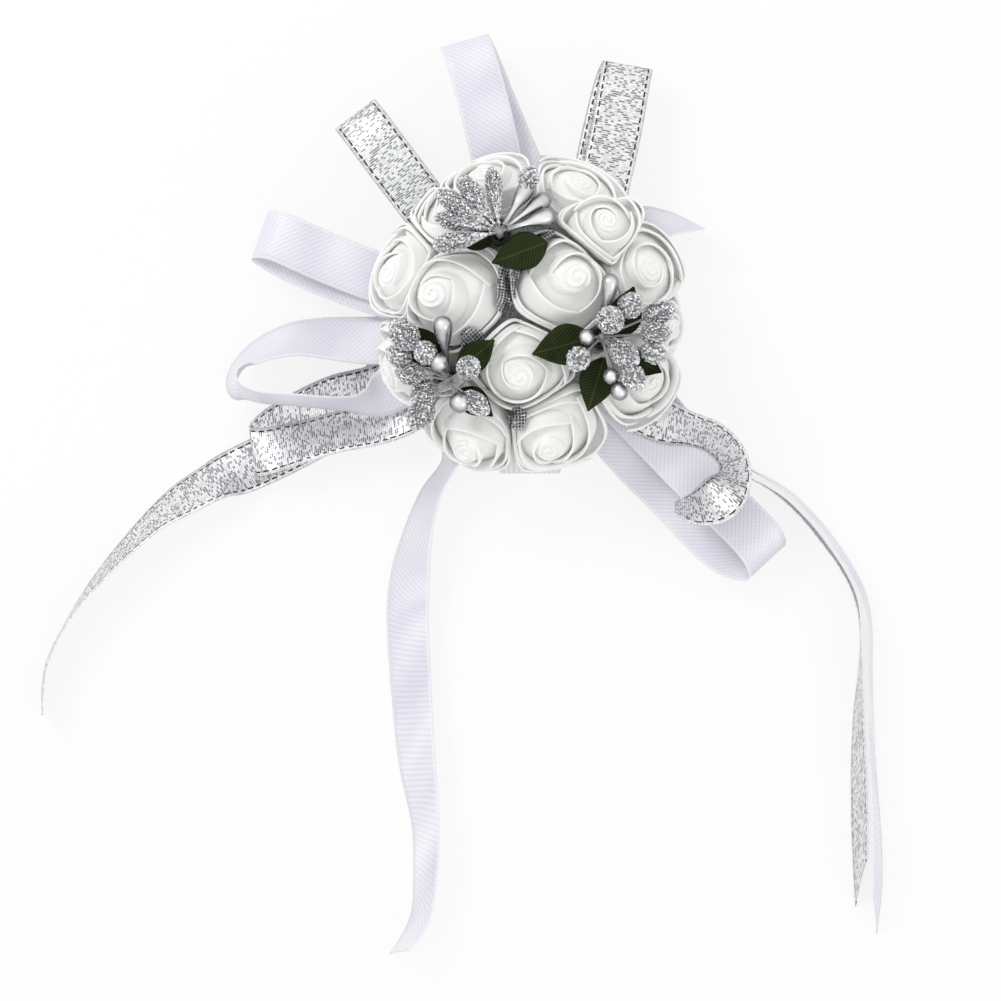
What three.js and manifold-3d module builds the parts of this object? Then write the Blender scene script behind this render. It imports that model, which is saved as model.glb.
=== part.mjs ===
import * as THREE from 'three';
import { mergeVertices } from 'three/addons/utils/BufferGeometryUtils.js';
import Module from 'manifold-3d';

const wasm = await Module();
wasm.setup();

// A wrist corsage lying on its back on a table, in millimetres. +Z is up, +Y is the top of the posy.

// Clearances
const SEAT_GAP = 0.3;
const SWING_GAP = 0.9;

// Elastic wrist loop, pressed flat under the posy
const ELASTIC_WIDTH = 12;
const ELASTIC_THICKNESS = 0.8;
const ELASTIC_LENGTH = 63;
const ELASTIC_OPENING = 4.6;

// Felt disc behind the posy
const DISC_DIAMETER = 29;
const DISC_THICKNESS = 1.5;

// Glue core: a post that grips the ribbon roots, and a dome that carries the flowers
const POST_DIAMETER = 29;
const DOME_DIAMETER = 42;
const DOME_HEIGHT = 7.5;
const FLARE_HEIGHT = 3.2;

// Silver mesh drawn over the dome, pushed up between the flowers
const MESH_THICKNESS = 0.5;
const MESH_PUFF_WIDTH = 3;
const MESH_PUFFS = [
  [-3.4, 11.4, 4],
  [-9, -6.6, 3],
  [-3.8, -20, 2.5],
];

// Ribbons
const RIBBON_WIDTH = 10;
const RIBBON_THICKNESS = 0.4;
const RIBBON_LAYERS = 7;
const RIBBON_STEPS = 3;

// Foam roses: plan place of the head's middle, size, extra stem, turn in degrees
const ROSE_DIAMETER = 18.4;
const ROSE_HEIGHT = 14;
const ROSE_MIDDLE = 0.55;
const ROSE_SIDES = 14;
const ROSES = [
  ['rose_01', -9.3, 25.7, 1, 0, 10],
  ['rose_02', 10.7, 25.2, 1, 0, 40],
  ['rose_03', 15.4, 16.6, 0.85, 4, 80],
  ['rose_04', 23.4, 8.4, 1, 0, 120],
  ['rose_05', 5.6, 4.5, 1.05, 0, 20],
  ['rose_06', -14.5, 2.9, 1.05, 0, 65],
  ['rose_07', -25.8, 8.4, 1, 0, 100],
  ['rose_08', -1.7, -11.1, 1, 0, 0],
  ['rose_09', -12.6, -23.9, 1, 0, 30],
  ['rose_10', 5.1, -24.1, 1, 0, 75],
  ['rose_11', 22, -13.1, 1, 1, 115],
  ['rose_12', -26.4, -11.5, 0.95, 0, 50],
  ['rose_13', -16.8, 18.6, 0.85, 1, 95],
  ['rose_14', 26.6, -3, 0.8, 0, 25],
];
// Rose profile in shares of radius and height, with petal count, petal swell and rise at each ring
const ROSE_RINGS = [
  [0, 0, 0, 0, 0],
  [0.34, 0.02, 0, 0, 0],
  [0.74, 0.2, 5, 0.03, 0],
  [0.96, 0.46, 5, 0.05, 0],
  [1, 0.66, 5, 0.07, 0.03],
  [0.9, 0.7, 5, 0.06, 0.03],
  [0.78, 0.6, 5, 0.03, 0],
  [0.74, 0.82, 4, 0.06, 0.03],
  [0.63, 0.82, 4, 0.05, 0.03],
  [0.52, 0.7, 4, 0.02, 0],
  [0.47, 0.94, 3, 0.07, 0.03],
  [0.36, 0.93, 3, 0.06, 0.03],
  [0.26, 0.82, 3, 0.02, 0],
  [0.2, 1, 2, 0.1, 0],
  [0, 0.98, 0, 0, 0],
];
const RING_TWIST = 0.45;

// Sprays of stamens: stalk place, buds as place, length and width, pearls as place and diameter
const STALK_DIAMETER = 2.4;
const SLEEVE_WALL = 0.6;
const SLEEVE_HEIGHT = 5;
const STEM_DIAMETER = 0.9;
const STEM_SIDES = 4;
const HEAD_SIDES = 7;
const HEAD_RINGS = 5;
const SPRAY_SWING = 6;
const SPRAYS = [
  {
    name: 'top',
    stalk: [-6, 14.6],
    buds: [
      [-11, 21.8, 9.6, 4.4], [-7.2, 23.6, 8.6, 3.8], [-0.4, 25.3, 5, 4.2], [-14, 19.8, 10.4, 4.4],
      [-14.4, 16.6, 9, 4.2], [-13.4, 13, 11.6, 4.6],
    ],
    pearls: [[-1.6, 22.2, 2.8], [1.9, 20.5, 2.8], [2.4, 18.2, 2.9]],
  },
  {
    name: 'left',
    stalk: [-16, -13.8],
    buds: [
      [-24.5, -5.2, 7.4, 5.6], [-25.5, -9.2, 5.4, 4.6], [-23.4, -12.6, 6, 4.6], [-20.8, -16.2, 6, 5.4],
      [-21.4, -20.6, 6.8, 5.2], [-20.4, -8.6, 5.4, 4.6], [-12, -11.6, 5.8, 4.6], [-10.6, -18.4, 7, 4.2],
    ],
    pearls: [[-17.7, -10.6, 4], [-13.7, -18.2, 4.2], [-17, -3.5, 3.6]],
  },
  {
    name: 'right',
    stalk: [13.6, -5.6],
    buds: [
      [15.2, -2.4, 5.8, 5.6], [19.1, 0.4, 5.6, 5], [24.9, -0.8, 7.2, 4.6], [24, -5, 6.2, 4.6],
      [23.6, -8.8, 5.6, 4.2], [18, -9, 7, 5], [19.6, -13.5, 5.4, 4.8], [9, -10, 5.4, 4.8],
    ],
    pearls: [[10.6, -5.8, 3.2], [15.4, -13.2, 3.2], [17, -16.2, 3.4], [15.2, 4.8, 3]],
  },
];

// Leaves: base, heading in degrees, share of the full size
const LEAF_LENGTH = 14;
const LEAF_WIDTH = 9.2;
const LEAF_THICKNESS = 0.5;
const LEAF_FOLD = 0.8;
const LEAF_TIP = 0.12;
const LEAF_REACH = 1.1;
const LEAF_SAG = 2.6;
const LEAVES = [
  ['leaf_top', 3.2, 12.6, 200, 0.82],
  ['leaf_top_lower', -7.6, 12.4, 156, 0.6],
  ['leaf_right_inner', 12, -5.6, 196, 0.88],
  ['leaf_right_lower', 14.2, -9.4, 253, 0.78],
  ['leaf_right_upper', 16.6, -5.8, 72, 0.75],
  ['leaf_right_outer', 18.2, -9.2, 336, 0.55],
  ['leaf_left_upper', -17.6, -11, 132, 0.75],
  ['leaf_left_inner', -14, -12, 40, 0.65],
  ['leaf_left_lower', -14, -15.6, 322, 0.6],
];

// Heights of the stack
const elasticTop = 2 * ELASTIC_THICKNESS + ELASTIC_OPENING;
const discTop = elasticTop + SEAT_GAP + DISC_THICKNESS;
const layerPitch = RIBBON_THICKNESS + SEAT_GAP;
const postRadius = POST_DIAMETER / 2;
const rootRadius = postRadius + SEAT_GAP;
const ribbonTop = discTop + SEAT_GAP + layerPitch * RIBBON_LAYERS;
const flareStart = ribbonTop + SEAT_GAP;
const domeBase = flareStart + FLARE_HEIGHT;
const meshStandOff = SEAT_GAP + MESH_THICKNESS;
const layerHeight = (layer) => discTop + SEAT_GAP + RIBBON_THICKNESS / 2 + layer * layerPitch;

const group = new THREE.Group();
group.name = 'wrist_corsage';
const radians = THREE.MathUtils.degToRad;

function addMesh(name, geometry, colour, metalness, roughness) {
  const material = new THREE.MeshStandardMaterial({ color: colour, metalness, roughness });
  const mesh = new THREE.Mesh(geometry, material);
  mesh.name = name;
  group.add(mesh);
  return mesh;
}

// Closed solids for booleans
function toSolid(geometry) {
  const bare = new THREE.BufferGeometry();
  const loose = geometry.index ? geometry.toNonIndexed() : geometry;
  bare.setAttribute('position', loose.getAttribute('position'));
  const merged = mergeVertices(bare, 1e-4);
  const source = {
    numProp: 3,
    vertProperties: new Float32Array(merged.attributes.position.array),
    triVerts: new Uint32Array(merged.index.array),
  };
  return new wasm.Manifold(new wasm.Mesh(source));
}

function toGeometry(solid) {
  const mesh = solid.getMesh();
  const geometry = new THREE.BufferGeometry();
  geometry.setAttribute('position', new THREE.BufferAttribute(mesh.vertProperties, 3));
  geometry.setIndex(new THREE.BufferAttribute(mesh.triVerts, 1));
  geometry.computeVertexNormals();
  return geometry;
}

// Elastic wrist loop: two flat strands and two bends
const bendRadius = elasticTop / 2;
const strandLength = ELASTIC_LENGTH - 2 * bendRadius;
function elasticStrand(name, height) {
  const strand = new THREE.BoxGeometry(ELASTIC_WIDTH, strandLength, ELASTIC_THICKNESS);
  addMesh(name, strand, 0xf4f2ee, 0, 0.9).position.z = height + ELASTIC_THICKNESS / 2;
}
elasticStrand('elastic_lower', 0);
elasticStrand('elastic_upper', ELASTIC_THICKNESS + ELASTIC_OPENING);

function elasticBend(name, side) {
  const shape = new THREE.Shape();
  shape.absarc(0, 0, bendRadius, -Math.PI / 2, Math.PI / 2, false);
  shape.absarc(0, 0, bendRadius - ELASTIC_THICKNESS, Math.PI / 2, -Math.PI / 2, true);
  const options = { depth: ELASTIC_WIDTH, bevelEnabled: false, curveSegments: 10 };
  const bend = new THREE.ExtrudeGeometry(shape, options);
  bend.translate(0, 0, -ELASTIC_WIDTH / 2);
  const turn = new THREE.Matrix4().makeBasis(
    new THREE.Vector3(0, side, 0),
    new THREE.Vector3(0, 0, 1),
    new THREE.Vector3(side, 0, 0),
  );
  bend.applyMatrix4(turn);
  addMesh(name, bend, 0xf4f2ee, 0, 0.9).position.set(0, side * (strandLength / 2 + SEAT_GAP), bendRadius);
}
elasticBend('elastic_bend_bottom', -1);
elasticBend('elastic_bend_top', 1);

// Felt disc
const disc = new THREE.CylinderGeometry(DISC_DIAMETER / 2, DISC_DIAMETER / 2, DISC_THICKNESS, 40);
disc.rotateX(Math.PI / 2);
addMesh('backing_disc', disc, 0xf0eeea, 0, 1).position.z = discTop - DISC_THICKNESS / 2;

// Dome outline at a stand-off, from its rim to its top
const DOME_STEPS = 6;
function domeOutline(standOff) {
  const outline = [];
  for (let i = 0; i <= DOME_STEPS; i += 1) {
    const angle = (Math.PI / 2) * (i / DOME_STEPS);
    const radius = (DOME_DIAMETER / 2 + standOff) * Math.cos(angle);
    outline.push(new THREE.Vector2(radius, domeBase + (DOME_HEIGHT + standOff) * Math.sin(angle)));
  }
  outline[DOME_STEPS].x = 0;
  return outline;
}

const coreOutline = [
  new THREE.Vector2(0, discTop + SEAT_GAP),
  new THREE.Vector2(postRadius, discTop + SEAT_GAP),
  new THREE.Vector2(postRadius, flareStart),
  ...domeOutline(0),
];
const core = new THREE.LatheGeometry(coreOutline, 28);
core.rotateX(Math.PI / 2);
addMesh('glue_core', core, 0xf2efe6, 0, 0.5);

// Silver mesh over the dome
const meshOutline = [...domeOutline(SEAT_GAP).reverse(), ...domeOutline(meshStandOff)];
const wrap = new THREE.LatheGeometry(meshOutline, 28);
wrap.rotateX(Math.PI / 2);
const wrapPoints = wrap.getAttribute('position');
for (let i = 0; i < wrapPoints.count; i += 1) {
  let rise = 0;
  for (const [x, y, height] of MESH_PUFFS) {
    const away = Math.hypot(wrapPoints.getX(i) - x, wrapPoints.getY(i) - y) / MESH_PUFF_WIDTH;
    rise += height * Math.exp(-away * away);
  }
  wrapPoints.setZ(i, wrapPoints.getZ(i) + rise);
}
addMesh('silver_mesh', wrap, 0x8f9299, 0.8, 0.4);

// Finds the seat on the dome whose normal carries a flower's middle over a plan point
function seatOnDome(x, y, lift) {
  const across = DOME_DIAMETER / 2 + meshStandOff + SEAT_GAP;
  const up = DOME_HEIGHT + meshStandOff + SEAT_GAP;
  const reach = Math.hypot(x, y);
  const tiltAt = (angle) => Math.atan2(Math.sin(angle) / across, Math.cos(angle) / up);
  let low = 0;
  let high = Math.PI / 2;
  for (let i = 0; i < 40; i += 1) {
    const middle = (low + high) / 2;
    const found = across * Math.sin(middle) + lift * Math.sin(tiltAt(middle));
    if (found < reach) low = middle;
    else high = middle;
  }
  const tilt = tiltAt(low);
  const out = new THREE.Vector3(x / reach, y / reach, 0);
  const foot = out.clone().multiplyScalar(across * Math.sin(low)).setZ(domeBase + up * Math.cos(low));
  const axis = out.multiplyScalar(Math.sin(tilt)).setZ(Math.cos(tilt));
  return { foot, axis };
}

// Roses stand on the dome and press flat against each other
const sleeveRadius = STALK_DIAMETER / 2 + SEAT_GAP + SLEEVE_WALL;
const flowers = ROSES.map(([name, x, y, size, stem, turn]) => {
  const lift = ROSE_HEIGHT * ROSE_MIDDLE * size + stem;
  const { foot, axis } = seatOnDome(x, y, lift);
  const base = foot.clone().addScaledVector(axis, stem);
  const middle = foot.clone().addScaledVector(axis, lift);
  return { name, size, turn: radians(turn), base, axis, middle, radius: (ROSE_DIAMETER / 2) * size };
});

function pressFlower(point, flower) {
  for (let pass = 0; pass < 6; pass += 1) {
    for (const other of flowers) {
      if (other === flower) continue;
      const away = other.middle.clone().sub(flower.middle);
      const span = away.length();
      away.divideScalar(span);
      const share = (span * span + flower.radius ** 2 - other.radius ** 2) / (2 * span);
      const over = point.clone().sub(flower.middle).dot(away) - (share - SEAT_GAP / 2);
      if (over > 0) point.addScaledVector(away, -over);
    }
    for (const { stalk } of SPRAYS) {
      const dx = point.x - stalk[0];
      const dy = point.y - stalk[1];
      const keep = sleeveRadius + 3 * SEAT_GAP;
      const near = Math.hypot(dx, dy);
      if (near < keep) {
        point.x = stalk[0] + (dx * keep) / near;
        point.y = stalk[1] + (dy * keep) / near;
      }
    }
    point.z = Math.max(point.z, ribbonTop + SEAT_GAP);
  }
}

function roseGeometry(flower) {
  const height = ROSE_HEIGHT * flower.size;
  const outline = ROSE_RINGS.map(([r, z]) => new THREE.Vector2(r * flower.radius, z * height));
  const rose = new THREE.LatheGeometry(outline, ROSE_SIDES);
  rose.rotateX(Math.PI / 2);
  const points = rose.getAttribute('position');
  const rings = ROSE_RINGS.length;
  for (let i = 0; i < points.count; i += 1) {
    const ring = i % rings;
    const [, , petals, swell, rise] = ROSE_RINGS[ring];
    const side = Math.floor(i / rings) % ROSE_SIDES;
    const wave = Math.cos(petals * (side / ROSE_SIDES) * 2 * Math.PI + ring * RING_TWIST);
    const grow = 1 + swell * wave;
    points.setXYZ(i, points.getX(i) * grow, points.getY(i) * grow, points.getZ(i) + rise * height * wave);
  }
  return rose;
}

for (const flower of flowers) {
  const rose = roseGeometry(flower);
  const upright = new THREE.Quaternion().setFromUnitVectors(new THREE.Vector3(0, 0, 1), flower.axis);
  const spin = new THREE.Quaternion().setFromAxisAngle(new THREE.Vector3(0, 0, 1), flower.turn);
  const place = new THREE.Matrix4().compose(
    flower.base,
    upright.multiply(spin),
    new THREE.Vector3(1, 1, 1),
  );
  rose.applyMatrix4(place);
  const points = rose.getAttribute('position');
  const point = new THREE.Vector3();
  for (let i = 0; i < points.count; i += 1) {
    point.fromBufferAttribute(points, i);
    pressFlower(point, flower);
    points.setXYZ(i, point.x, point.y, point.z);
  }
  addMesh(flower.name, rose, 0xf7f5ee, 0, 0.85);
}

// Height of the highest surface of the named pieces under a plan point
const ray = new THREE.Raycaster();
const RAY_START = DOME_DIAMETER * 10;
function surfaceHeight(pieces, x, y) {
  ray.set(new THREE.Vector3(x, y, RAY_START), new THREE.Vector3(0, 0, -1));
  const hits = ray.intersectObjects(pieces, false);
  return hits.length ? hits[0].point.z : domeBase;
}
function highestAround(pieces, x, y, reach) {
  let height = surfaceHeight(pieces, x, y);
  for (let i = 0; i < 8; i += 1) {
    const angle = (i * Math.PI) / 4;
    for (const share of [0.5, 1]) {
      const dx = share * reach * Math.cos(angle);
      const dy = share * reach * Math.sin(angle);
      height = Math.max(height, surfaceHeight(pieces, x + dx, y + dy));
    }
  }
  return height;
}

// Leaves lie over the flowers round each stalk
group.updateMatrixWorld(true);
const roseMeshes = group.children.filter((mesh) => mesh.name.startsWith('rose_'));
roseMeshes.forEach((mesh) => {
  mesh.material.side = THREE.DoubleSide;
});
const bed = [...roseMeshes, group.getObjectByName('silver_mesh')];
const leafMeshes = [];
for (const [name, x, y, heading, size] of LEAVES) {
  const length = LEAF_LENGTH * size;
  const width = LEAF_WIDTH * size;
  const leaf = new THREE.BoxGeometry(1, 1, LEAF_THICKNESS, 6, 2, 1);
  const points = leaf.getAttribute('position');
  const cos = Math.cos(radians(heading));
  const sin = Math.sin(radians(heading));
  const rests = [];
  for (let i = 0; i < points.count; i += 1) {
    const along = points.getX(i) + 0.5;
    const across = points.getY(i);
    const swell = Math.max(LEAF_TIP, Math.sin(Math.PI * Math.pow(along, 0.8)));
    points.setX(i, x + length * along * cos - width * across * swell * sin);
    points.setY(i, y + length * along * sin + width * across * swell * cos);
    const fold = LEAF_FOLD * Math.abs(across) * 2;
    rests.push(highestAround(bed, points.getX(i), points.getY(i), LEAF_REACH) + fold);
  }
  const lowest = Math.max(...rests) - LEAF_SAG;
  rests.forEach((rest, i) => {
    const seat = Math.max(rest, lowest) + SEAT_GAP * 2 + LEAF_THICKNESS / 2;
    points.setZ(i, points.getZ(i) + seat);
  });
  leafMeshes.push(addMesh(name, leaf, 0x1f5a3a, 0, 0.6));
}
group.updateMatrixWorld(true);
const flowerBed = [...bed, ...leafMeshes];

// Tape sleeves hold the stalks, and stamens spread from the stalk tops
function rod(from, to, diameter, sides) {
  const span = to.clone().sub(from);
  const bar = new THREE.CylinderGeometry(diameter / 2, diameter / 2, span.length(), sides);
  bar.rotateX(Math.PI / 2);
  const turn = new THREE.Quaternion();
  turn.setFromUnitVectors(new THREE.Vector3(0, 0, 1), span.clone().normalize());
  bar.applyQuaternion(turn);
  bar.translate((from.x + to.x) / 2, (from.y + to.y) / 2, (from.z + to.z) / 2);
  return bar;
}

function wrapHeight(x, y) {
  const mesh = group.getObjectByName('silver_mesh');
  return highestAround([mesh], x, y, sleeveRadius);
}

function headAt(stalk, sleeveTop, place, length, width) {
  const dx = place[0] - stalk[0];
  const dy = place[1] - stalk[1];
  let rest = sleeveTop;
  for (const swing of [-SPRAY_SWING, 0, SPRAY_SWING]) {
    const angle = radians(swing);
    for (const share of [-0.5, 0, 0.5]) {
      const stretch = 1 + (share * length) / Math.hypot(dx, dy);
      const sx = stalk[0] + stretch * (dx * Math.cos(angle) - dy * Math.sin(angle));
      const sy = stalk[1] + stretch * (dx * Math.sin(angle) + dy * Math.cos(angle));
      rest = Math.max(rest, highestAround(flowerBed, sx, sy, width / 2));
    }
  }
  return new THREE.Vector3(place[0], place[1], rest + SWING_GAP + width / 2);
}

for (const { name, stalk, buds, pearls } of SPRAYS) {
  const [x, y] = stalk;
  const sleeveFoot = wrapHeight(x, y) + SEAT_GAP;
  const outline = [
    new THREE.Vector2(sleeveRadius - SLEEVE_WALL, 0),
    new THREE.Vector2(sleeveRadius, 0),
    new THREE.Vector2(sleeveRadius, SLEEVE_HEIGHT),
    new THREE.Vector2(sleeveRadius - SLEEVE_WALL, SLEEVE_HEIGHT),
    new THREE.Vector2(sleeveRadius - SLEEVE_WALL, 0),
  ];
  const sleeve = new THREE.LatheGeometry(outline, 16);
  sleeve.rotateX(Math.PI / 2);
  addMesh('stem_sleeve_' + name, sleeve, 0x3f6b45, 0, 0.9).position.set(x, y, sleeveFoot);

  const heads = [];
  const sleeveTop = sleeveFoot + SLEEVE_HEIGHT;
  const shapes = [...buds, ...pearls.map(([px, py, size]) => [px, py, size, size])];
  for (const [hx, hy, length, width] of shapes) {
    heads.push({ at: headAt(stalk, sleeveTop, [hx, hy], length, width), length, width });
  }
  const stemRise = (head) => {
    let need = sleeveTop + STALK_DIAMETER;
    for (const share of [0.1, 0.25, 0.4, 0.55]) {
      const sx = x + (head.at.x - x) * share;
      const sy = y + (head.at.y - y) * share;
      const clear = highestAround(flowerBed, sx, sy, SWING_GAP * 2) + SWING_GAP;
      need = Math.max(need, (clear - share * head.at.z) / (1 - share));
    }
    return need;
  };
  const top = Math.max(...heads.map(stemRise));
  const knob = new THREE.Vector3(x, y, top);
  let spray = toSolid(rod(new THREE.Vector3(x, y, sleeveFoot), knob, STALK_DIAMETER, 10));
  for (const { at, length, width } of heads) {
    const root = knob.clone();
    root.z -= STALK_DIAMETER / 2;
    const heading = at.clone().sub(root).normalize();
    const head = new THREE.SphereGeometry(0.5, HEAD_SIDES, HEAD_RINGS);
    head.rotateX(Math.PI / 2);
    head.scale(width, width, length);
    head.applyQuaternion(new THREE.Quaternion().setFromUnitVectors(new THREE.Vector3(0, 0, 1), heading));
    head.translate(at.x, at.y, at.z);
    spray = spray.add(toSolid(rod(root, at, STEM_DIAMETER, STEM_SIDES))).add(toSolid(head));
  }
  addMesh('stamens_' + name, toGeometry(spray), 0xb9bcc2, 0.7, 0.35);
}

// Ribbons: stations are x, y, z and the lean of the width in degrees, 0 flat and 90 on edge
function ribbonGeometry(stations, widthAzimuth, cut) {
  const places = stations.map(([x, y, z]) => new THREE.Vector3(x, y, z));
  const widths = stations.map(([, , , lean], i) => {
    const next = places[Math.min(i + 1, places.length - 1)];
    const last = places[Math.max(i - 1, 0)];
    const heading = Math.atan2(next.y - last.y, next.x - last.x) + Math.PI / 2;
    const azimuth = widthAzimuth === null ? heading : radians(widthAzimuth);
    const flat = Math.cos(radians(lean));
    return new THREE.Vector3(Math.cos(azimuth) * flat, Math.sin(azimuth) * flat, Math.sin(radians(lean)));
  });
  const middle = new THREE.CatmullRomCurve3(places);
  const turning = new THREE.CatmullRomCurve3(widths, false, 'catmullrom');
  const steps = RIBBON_STEPS * (stations.length - 1);
  const ribbon = new THREE.BoxGeometry(1, RIBBON_WIDTH, RIBBON_THICKNESS, steps, 1, 1);
  const points = ribbon.getAttribute('position');
  const point = new THREE.Vector3();
  for (let i = 0; i < points.count; i += 1) {
    const side = points.getY(i) / RIBBON_WIDTH;
    const share = (points.getX(i) + 0.5) * (1 - cut * (0.5 + side));
    const along = middle.getTangent(share);
    const across = turning.getPoint(share);
    if (widthAzimuth === null) across.addScaledVector(along, -across.dot(along)).normalize();
    const face = along.clone().cross(across).normalize();
    middle.getPoint(share, point);
    point.addScaledVector(across, points.getY(i)).addScaledVector(face, points.getZ(i));
    points.setXYZ(i, point.x, point.y, point.z);
  }
  return ribbon;
}

const rootCutter = new THREE.CylinderGeometry(rootRadius, rootRadius, domeBase, 64);
rootCutter.rotateX(Math.PI / 2);
rootCutter.translate(0, 0, domeBase / 2);
const rootSolid = toSolid(rootCutter);
const SATIN = [0xf3f0fa, 0, 0.45];
const SILVER = [0xb4b7bd, 0.6, 0.45];

// A loop starts inside the post and is trimmed to its wall
function addLoop(name, look, widthAzimuth, stations) {
  const ribbon = toSolid(ribbonGeometry(stations, widthAzimuth, 0)).subtract(rootSolid);
  addMesh(name, toGeometry(ribbon), ...look);
}

// A tail starts square against the post at an azimuth and a layer
function addTail(name, look, azimuth, layer, cut, stations) {
  const cos = Math.cos(radians(azimuth));
  const sin = Math.sin(radians(azimuth));
  const height = layerHeight(layer);
  const lead = rootRadius + RIBBON_WIDTH / 4;
  const start = [
    [rootRadius * cos, rootRadius * sin, height, 0],
    [lead * cos, lead * sin, height, 0],
  ];
  addMesh(name, ribbonGeometry([...start, ...stations], null, cut), ...look);
}

addLoop('satin_loop_top', SATIN, 16, [
  [2.2, 12, layerHeight(0), 0],
  [1.8, 16, layerHeight(0), 0],
  [-1.7, 27, 7.6, 0],
  [-7.8, 42, 6, 0],
  [-11.6, 51.2, 6.2, 0],
  [-13.1, 54, 8.6, 0],
  [-12.2, 51.6, 11, 0],
  [-9.4, 42, 11.8, 0],
  [-7, 32, 10.8, 0],
  [-4, 18, layerHeight(1), 0],
  [-2.4, 12, layerHeight(1), 0],
]);
addLoop('satin_loop_left_upper', SATIN, 70, [
  [-12, 1, layerHeight(5), 0],
  [-16, 2, layerHeight(5), 0],
  [-27, 3.6, 11.4, 0],
  [-40, 8.2, 8, 0],
  [-50, 12.8, 6.6, 0],
  [-53.6, 15.4, 8.8, 0],
  [-50.8, 15.4, 11, 0],
  [-40, 10.8, 11.8, 0],
  [-30, 7, 12.3, 0],
  [-16.4, 3.4, layerHeight(6), 0],
  [-12, 2, layerHeight(6), 0],
]);
addLoop('satin_loop_left_lower', SATIN, null, [
  [-12, -1.6, layerHeight(3), 0],
  [-16, -2.4, layerHeight(3), 0],
  [-23, -4.4, 10.5, 2],
  [-30.4, -5.4, 9.5, 16],
  [-41.4, -4.8, 7.6, 36],
  [-47.4, -5.2, 8, 48],
  [-53.4, -7.4, 8.6, 60],
  [-57.4, -11, 10.2, 70],
  [-57.8, -14.4, 12.8, 76],
  [-54.6, -16.4, 13.8, 78],
  [-46.6, -17.2, 13.8, 78],
  [-38, -17.9, 12.6, 76],
  [-33.4, -17.8, 11.9, 67],
  [-28.8, -15.9, 10.9, 29],
  [-21.4, -11, 11.3, 6],
  [-16, -7, layerHeight(4), 0],
  [-12, -5, layerHeight(4), 0],
]);
addLoop('satin_loop_right', SATIN, 43, [
  [7.6, -9.6, layerHeight(2), 0],
  [9.6, -13.4, layerHeight(2), 0],
  [16.4, -23.8, 9, 0],
  [28, -36, 7, 0],
  [40.6, -48, 6, 0],
  [46.8, -49.4, 8.2, 0],
  [46, -46.2, 10.6, 0],
  [34, -33.8, 10.8, 0],
  [22, -21.4, 10.7, 0],
  [12.6, -11.8, layerHeight(3), 0],
  [8.6, -8.2, layerHeight(3), 0],
]);
addLoop('silver_loop_top_left', SILVER, 37, [
  [-9.4, 7, layerHeight(2), 0],
  [-12.6, 9.8, layerHeight(2), 0],
  [-20, 20, 9.2, 0],
  [-28, 30.6, 7.2, 0],
  [-32.6, 36.8, 6.8, 0],
  [-34.7, 39.4, 9, 0],
  [-33, 37.2, 11.4, 0],
  [-27, 29.2, 11.8, 0],
  [-20, 20, 11.2, 0],
  [-12.4, 10.4, layerHeight(3), 0],
  [-9.2, 7.4, layerHeight(3), 0],
]);
addLoop('silver_loop_top_right', SILVER, -11, [
  [9, 7.4, layerHeight(3), 0],
  [10.4, 12.4, layerHeight(3), 0],
  [13, 25, 8.6, 0],
  [15.8, 38, 6.6, 0],
  [18, 46.4, 6.2, 0],
  [19.3, 49.2, 8.6, 0],
  [18.8, 46.4, 11, 0],
  [17, 36, 11.8, 0],
  [14.8, 26, 11.8, 0],
  [11.6, 12.4, layerHeight(4), 0],
  [10, 7.4, layerHeight(4), 0],
]);
addLoop('silver_loop_left', SILVER, 98, [
  [-11, -5.4, layerHeight(1), 0],
  [-15, -7.4, layerHeight(1), 0],
  [-17.4, -8.7, 9.1, 0],
  [-20.6, -10.4, 7.2, 0],
  [-24, -12, 5.1, 0],
  [-31.6, -15.2, 3, 0],
  [-39.4, -17.2, 2.6, 0],
  [-48.2, -21.4, 2.6, 0],
  [-53.6, -25, 3, -4],
  [-55.2, -27.2, 4.4, -10],
  [-53.4, -27.4, 5.6, -18],
  [-46, -25.6, 6, -32],
  [-38, -23.4, 6.4, -34],
  [-30, -21.6, 6.6, -28],
  [-23.2, -18.6, 8, -12],
  [-16.4, -13, layerHeight(2), -2],
  [-11.2, -9.2, layerHeight(2), 0],
  [-8, -7, layerHeight(2), 0],
]);
addLoop('silver_loop_right', SILVER, null, [
  [9, -7.4, layerHeight(5), 0],
  [12.4, -10.2, layerHeight(5), 0],
  [19.5, -17, 12.6, 6],
  [25.4, -21, 13.4, 28],
  [31, -22.8, 15.4, 50],
  [36.4, -25, 16.4, 54],
  [39.6, -28.6, 16.8, 56],
  [40, -32.6, 17, 48],
  [37.4, -36.4, 16.9, 24],
  [33.2, -38.4, 16.6, 44],
  [28.4, -38.6, 16.4, 78],
]);
addLoop('satin_point', SATIN, null, [
  [9.4, 6.2, layerHeight(1), 0],
  [13, 9.2, layerHeight(1), -4],
  [17, 14, 8.4, -14],
  [21.5, 17.2, 8, -32],
  [27.5, 17.8, 8, -58],
  [31.5, 17.3, 8, -74],
  [34.6, 16.8, 8, -86],
]);

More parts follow.
